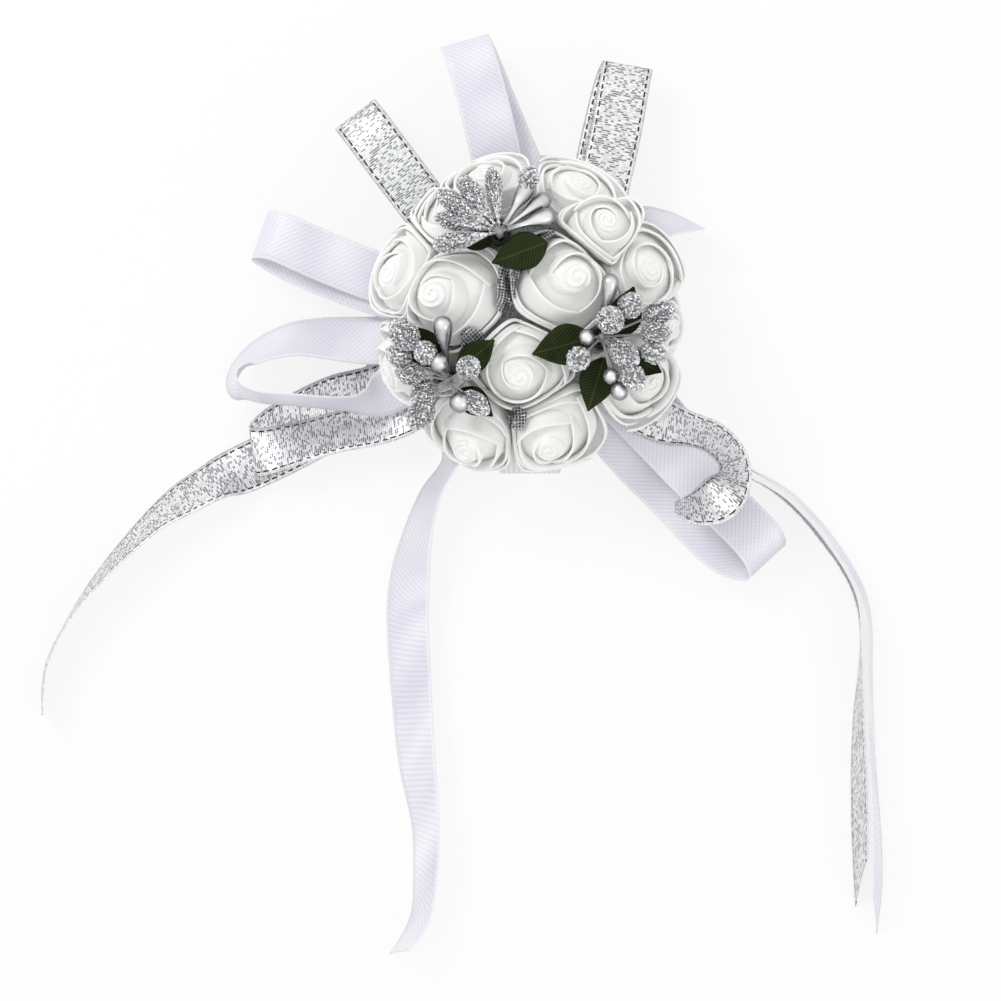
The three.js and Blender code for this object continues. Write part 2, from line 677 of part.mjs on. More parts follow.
addTail('silver_tail_left', SILVER, 186, 0, 0, [
  [-19.4, -3.8, 6.3, 0],
  [-23.2, -7.4, 3.6, 0],
  [-31, -15.4, 1.4, 0],
  [-40, -22, 0.6, 0],
  [-50, -27.4, 0.6, 0],
  [-57.6, -31, 1.7, 14],
  [-62.8, -33.2, 3.4, 38],
  [-68.6, -36.6, 4, 46],
  [-74.6, -40.8, 4.7, 60],
  [-80, -46, 5, 68],
  [-87.5, -54.4, 5.2, 78],
  [-92.4, -61.7, 5.3, 84],
  [-96, -69, 5.3, 84],
  [-97, -75, 5.3, 84],
  [-97, -79.6, 5.3, 86],
]);
addTail('satin_tail_centre', SATIN, 228, 0, 0.07, [
  [-12.8, -21, 6.6, 20],
  [-16, -29.5, 7.2, 70],
  [-20.2, -37, 5.5, 64],
  [-22.8, -46, 4.7, 50],
  [-23.9, -52.4, 3.8, 38],
  [-24.4, -58.8, 3.4, 34],
  [-23.8, -72.8, 3.5, 36],
  [-22.6, -88.4, 3.9, 42],
  [-20.8, -101.6, 4.7, 56],
  [-20.9, -112, 5, 62],
  [-22, -120.4, 5.2, 68],
  [-25, -125.4, 5.3, 76],
  [-27.5, -128.2, 5.3, 82],
]);
addTail('satin_tail_right', SATIN, 327, 0, 0.06, [
  [19.4, -13.2, 7.6, 10],
  [24.6, -18.2, 6.2, 26],
  [33.6, -26, 5.3, 62],
  [41.8, -29.8, 5.3, 88],
  [50.8, -35, 5.3, 96],
  [55.8, -39.8, 5.3, 98],
  [60.3, -45.5, 5.3, 100],
  [64.1, -51.2, 5.3, 100],
  [66.4, -56.4, 5.3, 100],
  [67.5, -63, 5.3, 99],
  [67.6, -71.6, 5.3, 99],
  [67.8, -80.6, 5.3, 100],
  [68.3, -92.4, 5.3, 101],
  [69.1, -105, 5.3, 103],
  [69, -115, 5.3, 104],
  [68.4, -123.6, 5.3, 100],
]);
addTail('silver_tail_right', SILVER, 327, 1, 0.05, [
  [19, -13.6, 8.6, 10],
  [23.6, -19, 7.4, 26],
  [32.4, -27.4, 5.6, 62],
  [41, -31.2, 5.3, 88],
  [49.8, -36.4, 5.3, 94],
  [54.7, -41, 5.3, 95],
  [59.1, -46.5, 5.3, 96],
  [62.7, -52, 5.3, 96],
  [64.8, -57, 5.3, 96],
  [65.7, -63.4, 5.3, 94],
  [65.7, -71.6, 5.3, 90],
  [65.4, -80.6, 5.3, 82],
  [65.4, -92.4, 5.3, 77],
  [65.6, -105, 5.3, 76],
  [65.8, -118.2, 5.3, 82],
]);

export default group;
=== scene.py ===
"""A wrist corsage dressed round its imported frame: foam roses, sprays, leaves, ribbons and a wrist loop."""
import math
import random

import bmesh
import bpy
from mathutils import Matrix, Vector, noise
from mathutils.bvhtree import BVHTree


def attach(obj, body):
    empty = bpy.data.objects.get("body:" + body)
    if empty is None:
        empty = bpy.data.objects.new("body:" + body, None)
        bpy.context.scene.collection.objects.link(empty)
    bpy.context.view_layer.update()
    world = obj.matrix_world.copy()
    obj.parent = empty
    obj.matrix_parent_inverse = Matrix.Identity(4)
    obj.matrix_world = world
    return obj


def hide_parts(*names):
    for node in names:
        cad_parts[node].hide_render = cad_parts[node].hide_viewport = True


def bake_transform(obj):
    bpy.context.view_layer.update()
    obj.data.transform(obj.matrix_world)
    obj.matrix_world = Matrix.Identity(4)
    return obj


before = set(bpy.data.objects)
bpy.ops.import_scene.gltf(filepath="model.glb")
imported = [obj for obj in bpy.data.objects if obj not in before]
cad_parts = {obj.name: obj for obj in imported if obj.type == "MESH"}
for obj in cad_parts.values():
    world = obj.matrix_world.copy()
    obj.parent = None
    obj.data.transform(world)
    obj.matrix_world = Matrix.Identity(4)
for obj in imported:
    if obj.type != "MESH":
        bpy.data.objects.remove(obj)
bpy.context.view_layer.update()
scene = bpy.context.scene
MM = 0.001
DOWN = Vector((0, 0, -1))
# Height in millimetres from which rays look down
ABOVE_ALL = 100

# Camera: straight above the corsage, a metre up
CAMERA_PLACE = (-0.0059, -0.0371, 1.0)
FRAME_WIDTH = 0.2002
SENSOR_WIDTH = 36
lens = bpy.data.cameras.new("camera")
lens.sensor_width = SENSOR_WIDTH
lens.lens = SENSOR_WIDTH * CAMERA_PLACE[2] / FRAME_WIDTH
camera = bpy.data.objects.new("camera", lens)
camera.location = CAMERA_PLACE
scene.collection.objects.link(camera)
scene.camera = camera


class Wire:
    """An output socket. Arithmetic on wires adds Math nodes."""

    def __init__(self, tree, socket):
        self.tree = tree
        self.socket = socket

    def compute(self, operation, *values):
        node = self.tree.nodes.new("ShaderNodeMath")
        node.operation = operation
        for socket, value in zip(node.inputs, values):
            if isinstance(value, Wire):
                self.tree.links.new(value.socket, socket)
            else:
                socket.default_value = value
        return Wire(self.tree, node.outputs[0])

    def at(self, output):
        return Wire(self.tree, self.socket.node.outputs[output])

    def __add__(self, other):
        return self.compute("ADD", self, other)

    def __radd__(self, other):
        return self.compute("ADD", other, self)

    def __sub__(self, other):
        return self.compute("SUBTRACT", self, other)

    def __rsub__(self, other):
        return self.compute("SUBTRACT", other, self)

    def __mul__(self, other):
        return self.compute("MULTIPLY", self, other)

    def __rmul__(self, other):
        return self.compute("MULTIPLY", other, self)

    def __truediv__(self, other):
        return self.compute("DIVIDE", self, other)

    def __gt__(self, other):
        return self.compute("GREATER_THAN", self, other)

    def __lt__(self, other):
        return self.compute("LESS_THAN", self, other)

    def __mod__(self, other):
        return self.compute("FLOORED_MODULO", self, other)

    def __abs__(self):
        return self.compute("ABSOLUTE", self)

    def sine(self):
        return self.compute("SINE", self)

    def floor(self):
        return self.compute("FLOOR", self)

    def wave(self, period):
        """A sine wave from 0 to 1."""
        return (self * (2 * math.pi / period)).sine() * 0.5 + 0.5

    def or_more(self, other):
        return self.compute("MAXIMUM", self, other)

    def camera_rays(self):
        """1 for camera, glossy and transmitted rays, else 0. The wire is a Light Path node's first output."""
        seen = self + self.at(3) + self.at(6)
        return seen.compute("MINIMUM", seen, 1.0)


class Finish:
    """A node material whose steady values sit on the shader and whose patterns are wired in."""

    def __init__(self, name, steady):
        self.material = bpy.data.materials.new(name)
        self.material.use_nodes = True
        self.tree = self.material.node_tree
        self.shader = self.tree.nodes["Principled BSDF"]
        for socket, value in steady.items():
            self.shader.inputs[socket].default_value = value

    def node(self, kind, settings=None, inputs=None, output=0):
        node = self.tree.nodes.new("ShaderNode" + kind)
        for key, value in (settings or {}).items():
            if key == "stops":
                steps = node.color_ramp.elements
                while len(steps) < len(value):
                    steps.new(1)
                for step, (place, colour) in zip(steps, value):
                    step.position = place
                    step.color = (*colour, 1)
            else:
                setattr(node, key, value)
        for key, value in (inputs or {}).items():
            if isinstance(value, Wire):
                self.tree.links.new(value.socket, node.inputs[key])
            else:
                node.inputs[key].default_value = value
        return Wire(self.tree, node.outputs[output])

    def tint(self, share, first, second):
        colours = [c if isinstance(c, Wire) else (*c, 1) for c in (first, second)]
        return self.node("Mix", {"data_type": "RGBA"}, {0: share, 6: colours[0], 7: colours[1]}, 2)

    def feed(self, socket, wire):
        self.tree.links.new(wire.socket, self.shader.inputs[socket])

    def bump(self, height, distance, strength):
        inputs = {"Strength": strength, "Distance": distance, "Height": height}
        self.feed("Normal", self.node("Bump", {}, inputs))

    def place(self):
        return self.node("TexCoord", output=3)

    def cloth_map(self, width):
        """Distances across and along a cloth, in millimetres."""
        split = self.node("SeparateXYZ", {}, {0: self.node("UVMap", {"uv_map": "cloth"})})
        return split * width, split.at(1) * width

    def noise(self, vector, scale, detail):
        return self.node("TexNoise", {}, {"Vector": vector, "Scale": scale, "Detail": detail})


# Sizes of the weaves, in millimetres
RIBBON_WIDTH = 10.0
TWILL = 1.1
PICOT = 0.7
STITCH_INSET = 0.78
STITCH_PITCH = 1.75
STITCH_LENGTH = 1.05
LAME_ROW = 0.42
LAME_BRICK = 0.6
NET_CELL = 0.6


def satin_finish():
    finish = Finish("white satin", {"Roughness": 0.36, "Specular IOR Level": 0.6, "Sheen Weight": 0.15})
    across, along = finish.cloth_map(RIBBON_WIDTH)
    spot = finish.node("CombineXYZ", {}, {0: across * 0.04, 1: along * 0.075})
    # The cloud is painted sheen and shade: broad bands across the ribbon, lilac-grey where shaded and white
    # where it shines
    cloud = finish.noise(spot, 1.0, 1.0) * 1.9 - 0.45
    twill = (across + along).wave(TWILL)
    counter = (across - along).wave(TWILL)
    edge = abs(across - RIBBON_WIDTH / 2) > RIBBON_WIDTH / 2 - 0.55
    picot = along.wave(PICOT)
    weave = twill * 0.75 + counter * 0.25
    # Painted sheen and shade from the cloud, mixed with the twill, which is the cloth's own weave
    shade = finish.tint(cloud * 0.62 + weave * 0.32, (0.6, 0.595, 0.72), (0.96, 0.958, 0.985))
    finish.feed("Base Color", finish.tint(edge * (0.55 + 0.35 * picot), shade, (0.95, 0.945, 0.98)))
    finish.bump(weave * (1 - edge) + edge * picot * 1.6, 0.00004, 0.55)
    finish.feed("Roughness", 0.3 + weave * 0.12 + edge * 0.15)
    return finish.material


def lame_finish():
    finish = Finish("silver ribbon", {"Roughness": 0.32, "Metallic": 0.55})
    across, along = finish.cloth_map(RIBBON_WIDTH)
    row = (along / LAME_ROW).floor()
    shift = finish.node("TexWhiteNoise", {"noise_dimensions": "1D"}, {"W": row})
    brick = (across / LAME_BRICK + shift * 7.0).floor()
    cell = finish.node("CombineXYZ", {}, {0: brick, 1: row})
    chance = finish.node("TexWhiteNoise", {"noise_dimensions": "2D"}, {"Vector": cell})
    patch = finish.noise(finish.node("CombineXYZ", {}, {0: across * 0.3, 1: along * 0.22}), 1.0, 1.0)
    in_row = abs((along / LAME_ROW) % 1.0 - 0.5) < 0.3
    dash = in_row * (chance > 0.93 - patch * 0.6)
    # Painted glints: white flecks for light caught by the metal threads
    painted_glint = in_row * (chance < 0.3)
    weft = finish.noise(finish.node("CombineXYZ", {}, {0: across * 0.6, 1: along * 2.4}), 1.0, 2.0)
    rows = along.wave(LAME_ROW)
    warp = across.wave(LAME_BRICK)
    from_edge = RIBBON_WIDTH / 2 - abs(across - RIBBON_WIDTH / 2)
    wander = finish.noise(finish.node("CombineXYZ", {}, {0: along * 0.9}), 1.0, 1.0) * 0.24 - 0.12
    stitch_line = abs(from_edge - STITCH_INSET + wander) < 0.17
    stitch = stitch_line * ((along + weft * 0.8) % STITCH_PITCH < STITCH_LENGTH)
    border = from_edge < 0.6
    cloth = finish.tint(weft * 0.9 + warp * 0.15, (0.92, 0.925, 0.94), (0.56, 0.565, 0.58))
    # Lays the painted glints on the cloth
    cloth = finish.tint(painted_glint * 0.8, cloth, (0.98, 0.982, 0.99))
    cloth = finish.tint(dash * 0.85, cloth, (0.16, 0.162, 0.17))
    cloth = finish.tint(border * 0.6, cloth, (0.8, 0.805, 0.82))
    finish.feed("Base Color", finish.tint(stitch, cloth, (0.012, 0.012, 0.014)))
    finish.feed("Metallic", 0.6 * (1 - stitch))
    finish.feed("Roughness", 0.26 + 0.2 * rows)
    finish.bump(rows * 0.5 + warp * 0.3 - dash * 0.6 - stitch * 0.5, 0.00007, 0.6)
    return finish.material


def foam_finish():
    finish = Finish("white foam", {"Roughness": 0.72, "Specular IOR Level": 0.3, "Subsurface Weight": 0.15,
                                   "Subsurface Scale": 0.001, "Subsurface Radius": (1.0, 0.97, 0.93)})
    # Painted shade: this attribute tints the foam darker and greener low in the petals and in the heart,
    # where the creases lie in shade
    depth = finish.node("Attribute", {"attribute_name": "fold_depth"}, output=2)
    cloud = finish.noise(finish.place(), 160.0, 2.0)
    grain = finish.noise(finish.place(), 2600.0, 2.0)
    share = (depth * 0.95 + (cloud - 0.5) * 0.25).or_more(0.0)
    # The second colour is the painted crease shade; the cloud only varies it at random
    finish.feed("Base Color", finish.tint(share, (0.962, 0.964, 0.95), (0.95, 0.955, 0.92)))
    finish.feed("Roughness", 0.66 + grain * 0.16)
    finish.bump(grain * 0.6 + cloud * 0.5, 0.00005, 0.35)
    return finish.material


def leaf_finish():
    finish = Finish("green leaf satin", {"Roughness": 0.55, "Specular IOR Level": 0.08})
    along, across = finish.cloth_map(1.0)
    ribs = (along - abs(across) * 0.55).wave(0.62)
    threads = across.wave(0.55)
    cloud = finish.noise(finish.place(), 240.0, 2.0)
    vein = abs(across) < 0.16
    weave = ribs * (0.55 + 0.45 * threads)
    green = finish.tint(weave * 0.75 + cloud * 0.3, (0.005, 0.008, 0.002), (0.038, 0.056, 0.016))
    finish.feed("Base Color", finish.tint(vein * 0.5, green, (0.06, 0.088, 0.03)))
    finish.feed("Roughness", 0.42 + 0.2 * ribs)
    finish.bump(weave + vein * 0.8, 0.00008, 0.7)
    return finish.material


def glitter_finish():
    finish = Finish("silver glitter", {"Metallic": 0.9, "Roughness": 0.24})
    fleck = finish.node("TexVoronoi", {}, {"Vector": finish.place(), "Scale": 2600.0}, 1)
    bright = finish.node("SeparateXYZ", {}, {0: fleck})
    stops = [(0.0, (0.23, 0.23, 0.24)), (0.45, (0.56, 0.565, 0.58)), (1.0, (0.96, 0.965, 0.975))]
    shade = finish.node("ValToRGB", {"stops": stops}, {0: bright})
    finish.feed("Base Color", shade)
    finish.feed("Roughness", 0.16 + bright.at(1) * 0.3)
    return finish.material


def bud_core_finish():
    finish = Finish("grey bud", {"Metallic": 0.5, "Roughness": 0.55})
    cloud = finish.noise(finish.place(), 1500.0, 2.0)
    finish.feed("Base Color", finish.tint(cloud, (0.13, 0.13, 0.135), (0.34, 0.345, 0.355)))
    return finish.material


def pearl_finish():
    finish = Finish("silver pearl", {"Metallic": 0.8, "Roughness": 0.24, "Coat Weight": 0.7,
                                     "Coat Roughness": 0.1})
    # Painted reflection: this attribute makes faces that look up bright and faces that look sideways or down
    # dark
    polish = finish.node("Attribute", {"attribute_name": "polish"}, output=2)
    cloud = finish.noise(finish.place(), 420.0, 2.0)
    # The ramp gives the painted reflection its dark flanks and bright top
    stops = [(0.0, (0.05, 0.05, 0.054)), (0.62, (0.11, 0.111, 0.117)), (0.84, (0.34, 0.342, 0.352)),
             (0.96, (0.8, 0.802, 0.81)), (1.0, (0.93, 0.932, 0.94))]
    shade = finish.node("ValToRGB", {"stops": stops}, {0: polish * 0.9 + cloud * 0.16})
    finish.feed("Base Color", shade)
    finish.feed("Roughness", 0.18 + cloud * 0.16)
    return finish.material


def thread_finish():
    finish = Finish("stem thread", {"Roughness": 0.5, "Metallic": 0.35})
    cloud = finish.noise(finish.place(), 900.0, 3.0)
    finish.feed("Base Color", finish.tint(cloud, (0.2, 0.2, 0.206), (0.5, 0.502, 0.51)))
    finish.bump(cloud, 0.00006, 0.6)
    return finish.material


def tape_finish():
    finish = Finish("floral tape", {"Roughness": 0.7})
    spot = finish.node("SeparateXYZ", {}, {0: finish.place()})
    wrap = (spot.at(2) * 1000 + spot * 350).wave(1.3)
    cloud = finish.noise(finish.place(), 700.0, 3.0)
    green = finish.tint(wrap * 0.5 + cloud * 0.4, (0.008, 0.016, 0.006), (0.03, 0.048, 0.018))
    finish.feed("Base Color", green)
    finish.bump(wrap + cloud * 0.6, 0.0001, 0.6)
    return finish.material


def net_finish(name, hole, gauge):
    """Net of silver threads; a higher gauge makes the threads thinner."""
    finish = Finish(name, {"Metallic": 0.7, "Roughness": 0.35})
    across, along = finish.cloth_map(1.0)
    first = (across * (2 * math.pi / NET_CELL)).sine()
    second = (along * (2 * math.pi / NET_CELL)).sine()
    thread = first.or_more(second) > gauge
    # Painted glints: high-contrast noise gives the silver threads bright white spots
    cloud = finish.noise(finish.place(), 900.0, 2.0) * 2.6 - 0.8
    silver = finish.tint(cloud, (0.5, 0.505, 0.52), (0.97, 0.975, 0.98))
    finish.feed("Base Color", finish.tint(thread, hole, silver))
    finish.feed("Metallic", thread * 0.5)
    finish.bump(first.or_more(second), 0.0001, 0.8)
    return finish.material


def glue_finish():
    finish = Finish("hot glue", {"Roughness": 0.3, "Subsurface Weight": 0.2, "Subsurface Scale": 0.002})
    cloud = finish.noise(finish.place(), 220.0, 3.0)
    finish.feed("Base Color", finish.tint(cloud, (0.72, 0.7, 0.62), (0.88, 0.87, 0.82)))
    finish.feed("Roughness", 0.2 + cloud * 0.3)
    finish.bump(cloud, 0.0004, 0.7)
    return finish.material


def felt_finish():
    finish = Finish("white felt", {"Roughness": 0.95, "Sheen Weight": 0.4})
    fibre = finish.noise(finish.place(), 1800.0, 4.0)
    cloud = finish.noise(finish.place(), 300.0, 2.0)
    white = finish.tint(fibre * 0.6 + cloud * 0.4, (0.74, 0.735, 0.72), (0.93, 0.925, 0.91))
    finish.feed("Base Color", white)
    finish.bump(fibre, 0.00015, 0.8)
    return finish.material


def elastic_finish():
    finish = Finish("ribbed elastic", {"Roughness": 0.8, "Sheen Weight": 0.3})
    across, along = finish.cloth_map(1.0)
    ribs = across.wave(1.0)
    picks = along.wave(0.5)
    cloud = finish.noise(finish.place(), 500.0, 2.0)
    weave = ribs * 0.5 + picks * 0.25 + cloud * 0.25
    finish.feed("Base Color", finish.tint(weave, (0.7, 0.695, 0.68), (0.93, 0.925, 0.91)))
    finish.bump(ribs * 0.6 + picks * 0.4, 0.00008, 0.6)
    return finish.material


SATIN = satin_finish()
LAME = lame_finish()
FOAM = foam_finish()
LEAF = leaf_finish()
GLITTER = glitter_finish()
BUD_CORE = bud_core_finish()
PEARL = pearl_finish()
THREAD = thread_finish()
TAPE = tape_finish()
PALE_NET = net_finish("pale silver net", (0.66, 0.66, 0.67), 0.5)
DARK_NET = net_finish("dark silver net", (0.05, 0.05, 0.054), 0.6)
GLUE = glue_finish()
FELT = felt_finish()
ELASTIC = elastic_finish()


def finished(name, bm, finish, slot, smooth=True):
    """Turns a shape drawn in millimetres into a piece in metres."""
    bmesh.ops.scale(bm, vec=(MM, MM, MM), verts=bm.verts)
    mesh = bpy.data.meshes.new(name)
    bm.to_mesh(mesh)
    bm.free()
    mesh.materials.append(finish)
    mesh.polygons.foreach_set("use_smooth", [smooth] * len(mesh.polygons))
    piece = bpy.data.objects.new(name, mesh)
    scene.collection.objects.link(piece)
    return piece


def thicken(piece, thickness, rounds=0):
    """Gives a sheet its thickness in millimetres, and rounds it off where rounds are asked for."""
    wall = piece.modifiers.new("wall", "SOLIDIFY")
    wall.thickness = thickness * MM
    wall.offset = 0
    if rounds:
        soft = piece.modifiers.new("soft", "SUBSURF")
        soft.levels = rounds
        soft.render_levels = rounds


def map_cloth(bm, spot):
    """Lays the cloth map. The spot function gives the place on the cloth for a vertex."""
    cloth = bm.loops.layers.uv.new("cloth")
    for face in bm.faces:
        for loop in face.loops:
            loop[cloth].uv = spot(loop.vert)


def upright(place, heading):
    """Stands a shape at a place with its z axis along the heading."""
    return Matrix.Translation(place) @ heading.to_track_quat("Z", "Y").to_matrix().to_4x4()


def curve_point(points, share, even=False):
    """A point at a share of the smooth curve through the points. Even counts all steps as equally long."""
    last = len(points) - 1
    start = min(int(share * last), last - 1)
    t = share * last - start
    b, c = points[start], points[start + 1]
    a = points[start - 1] if start > 0 else 2 * b - c
    d = points[start + 2] if start + 2 <= last else 2 * c - b
    if even:
        leave, arrive = (c - a) / 2, (d - b) / 2
    else:
        ab, bc, cd = (math.sqrt(max((q - p).length, 1e-6)) for p, q in ((a, b), (b, c), (c, d)))
        leave = ((b - a) / ab - (c - a) / (ab + bc) + (c - b) / bc) * bc
        arrive = ((c - b) / bc - (d - b) / (bc + cd) + (d - c) / cd) * bc
    bend = 3 * (c - b) - 2 * leave - arrive
    twist = 2 * (b - c) + leave + arrive
    return b + leave * t + bend * t * t + twist * t ** 3


def curve_heading(points, share, step):
    """Direction of the curve at a share of it."""
    way = curve_point(points, min(share + step, 1.0)) - curve_point(points, max(share - step, 0.0))
    return way.normalized()


# Ribbons. Stations are x, y, z in millimetres and the lean of the width in degrees, 0 flat and 90 on edge
ROOT_RADIUS = 14.8
ROOT_DEPTH = 1.5
TAIL_START = 17.3
TAIL_BLEND = 7
TAIL_SEED = 20
FIRST_LAYER = 8.5
LAYER_STEP = 0.7
RIBBON_THICKNESS = 0.22
STATION_ROWS = 14
RIPPLE = 0.14
CUP = 0.16


def layer(number):
    """Height of a ribbon root in the stack."""
    return FIRST_LAYER + LAYER_STEP * number


def ribbon(name, finish, slot, stations, azimuth, cut, seed):
    """A ribbon through its stations, and its length in metres. The cut is the slant of its end."""
    places = [Vector(s[:3]) for s in stations]
    widths = []
    for i, station in enumerate(stations):
        way = places[min(i + 1, len(places) - 1)] - places[max(i - 1, 0)]
        turn = math.atan2(way.y, way.x) + math.pi / 2 if azimuth is None else math.radians(azimuth)
        lean = math.radians(station[3])
        flat = math.cos(lean)
        widths.append(Vector((math.cos(turn) * flat, math.sin(turn) * flat, math.sin(lean))))
    rows = STATION_ROWS * (len(stations) - 1)
    line = [curve_point(places, i / rows) for i in range(rows + 1)]
    reach = [0.0]
    for before, after in zip(line, line[1:]):
        reach.append(reach[-1] + (after - before).length)
    bm = bmesh.new()
    bmesh.ops.create_grid(bm, x_segments=8, y_segments=rows, size=0.5)
    travels = {vert: reach[round((vert.co.y + 0.5) * rows)] for vert in bm.verts}
    map_cloth(bm, lambda vert: (vert.co.x + 0.5, travels[vert] / RIBBON_WIDTH))
    for vert in bm.verts:
        side = -vert.co.x
        travel = travels[vert]
        share = (vert.co.y + 0.5) * (1 - cut * (0.5 + side))
        ahead = curve_heading(places, share, 0.002)
        across = curve_point(widths, share, even=True)
        if azimuth is None:
            across = (across - ahead * across.dot(ahead)).normalized()
        ripple = RIPPLE * noise.noise(Vector((travel * 0.09, side * 1.4, seed * 7.3)))
        cup = CUP * (0.25 - side * side)
        middle = curve_point(places, share)
        face_out = ahead.cross(across).normalized()
        vert.co = middle + across * side * RIBBON_WIDTH + face_out * (ripple + cup)
    piece = finished(name, bm, finish, slot)
    thicken(piece, RIBBON_THICKNESS)
    return piece, reach[-1] * MM


# Each loop: name, direction of its width in degrees or None where it follows the route, and stations
LOOPS = [
    ("satin_loop_top", 16, [
        (2.2, 12, layer(0), 0), (1.8, 16, layer(0), 0), (-1.7, 27, 7.6, 0), (-7.8, 42, 6, 0),
        (-11.6, 51.2, 6.2, 0), (-13.1, 54, 8.6, 0), (-12.2, 51.6, 11, 0), (-9.4, 42, 11.8, 0),
        (-7, 32, 10.8, 0), (-4, 18, layer(1), 0), (-2.4, 12, layer(1), 0)]),
    ("satin_loop_left_upper", 70, [
        (-12, 1, layer(5), 0), (-16, 2, layer(5), 0), (-27, 3.6, 11.4, 0), (-40, 8.2, 8, 0),
        (-50, 12.8, 6.6, 0), (-53.6, 15.4, 8.8, 0), (-50.8, 15.4, 11, 0), (-40, 10.8, 11.8, 0),
        (-30, 7, 12.3, 0), (-16.4, 3.4, layer(6), 0), (-12, 2, layer(6), 0)]),
    ("satin_loop_left_lower", None, [
        (-12, -1.6, layer(3), 0), (-16, -2.4, layer(3), 0), (-23, -4.4, 10.5, 2), (-30.4, -5.4, 9.5, 16),
        (-41.4, -4.8, 7.6, 36), (-47.4, -5.2, 8, 48), (-53.4, -7.4, 8.6, 60), (-57.4, -11, 10.2, 70),
        (-57.8, -14.4, 12.8, 76), (-54.6, -16.4, 13.8, 78), (-46.6, -17.2, 13.8, 78), (-38, -17.9, 12.6, 76),
        (-33.4, -17.8, 11.9, 67), (-28.8, -15.9, 10.9, 29), (-21.4, -11, 11.3, 6), (-16, -7, layer(4), 0),
        (-12, -5, layer(4), 0)]),
    ("satin_loop_right", 43, [
        (7.6, -9.6, layer(2), 0), (9.6, -13.4, layer(2), 0), (16.4, -23.8, 9, 0), (28, -36, 7, 0),
        (40.6, -48, 6, 0), (46.8, -49.4, 8.2, 0), (46, -46.2, 10.6, 0), (34, -33.8, 10.8, 0),
        (22, -21.4, 10.7, 0), (12.6, -11.8, layer(3), 0), (8.6, -8.2, layer(3), 0)]),
    ("silver_loop_top_left", 37, [
        (-9.4, 7, layer(2), 0), (-12.6, 9.8, layer(2), 0), (-20, 20, 9.2, 0), (-28, 30.6, 7.2, 0),
        (-32.6, 36.8, 6.8, 0), (-34.7, 39.4, 9, 0), (-33, 37.2, 11.4, 0), (-27, 29.2, 11.8, 0),
        (-20, 20, 11.2, 0), (-12.4, 10.4, layer(3), 0), (-9.2, 7.4, layer(3), 0)]),
    ("silver_loop_top_right", -11, [
        (9, 7.4, layer(3), 0), (10.4, 12.4, layer(3), 0), (13, 25, 8.6, 0), (15.8, 38, 6.6, 0),
        (18, 46.4, 6.2, 0), (19.3, 49.2, 8.6, 0), (18.8, 46.4, 11, 0), (17, 36, 11.8, 0),
        (14.8, 26, 11.8, 0), (11.6, 12.4, layer(4), 0), (10, 7.4, layer(4), 0)]),
    ("silver_loop_left", 98, [
        (-11, -5.4, layer(1), 0), (-15, -7.4, layer(1), 0), (-17.4, -8.7, 9.1, 0), (-20.6, -10.4, 7.2, 0),
        (-24, -12, 5.1, 0), (-31.6, -15.2, 3, 0), (-39.4, -17.2, 2.6, 0), (-48.2, -21.4, 2.6, 0),
        (-53.6, -25, 3, -4), (-55.2, -27.2, 4.4, -10), (-53.4, -27.4, 5.6, -18), (-46, -25.6, 6, -32),
        (-38, -23.4, 6.4, -34), (-30, -21.6, 6.6, -28), (-23.2, -18.6, 8, -12), (-16.4, -13, layer(2), -2),
        (-11.2, -9.2, layer(2), 0), (-8, -7, layer(2), 0)]),
    ("silver_loop_right", None, [
        (9, -7.4, layer(5), 0), (12.4, -10.2, layer(5), 0), (19.5, -17, 12.6, 6), (25.4, -21, 13.4, 28),
        (31, -22.8, 15.4, 50), (36.4, -25, 16.4, 54), (39.6, -28.6, 16.8, 56), (40, -32.6, 17, 48),
        (37.4, -36.4, 16.9, 24), (33.2, -38.4, 16.6, 44), (28.4, -38.6, 16.4, 78)]),
    ("satin_point", None, [
        (9.4, 6.2, layer(1), 0), (13, 9.2, layer(1), -4), (17, 14, 8.4, -14), (21.5, 17.2, 8, -32),
        (27.5, 17.8, 8, -58), (31.5, 17.3, 8, -74), (34.6, 16.8, 8, -86)]),
]
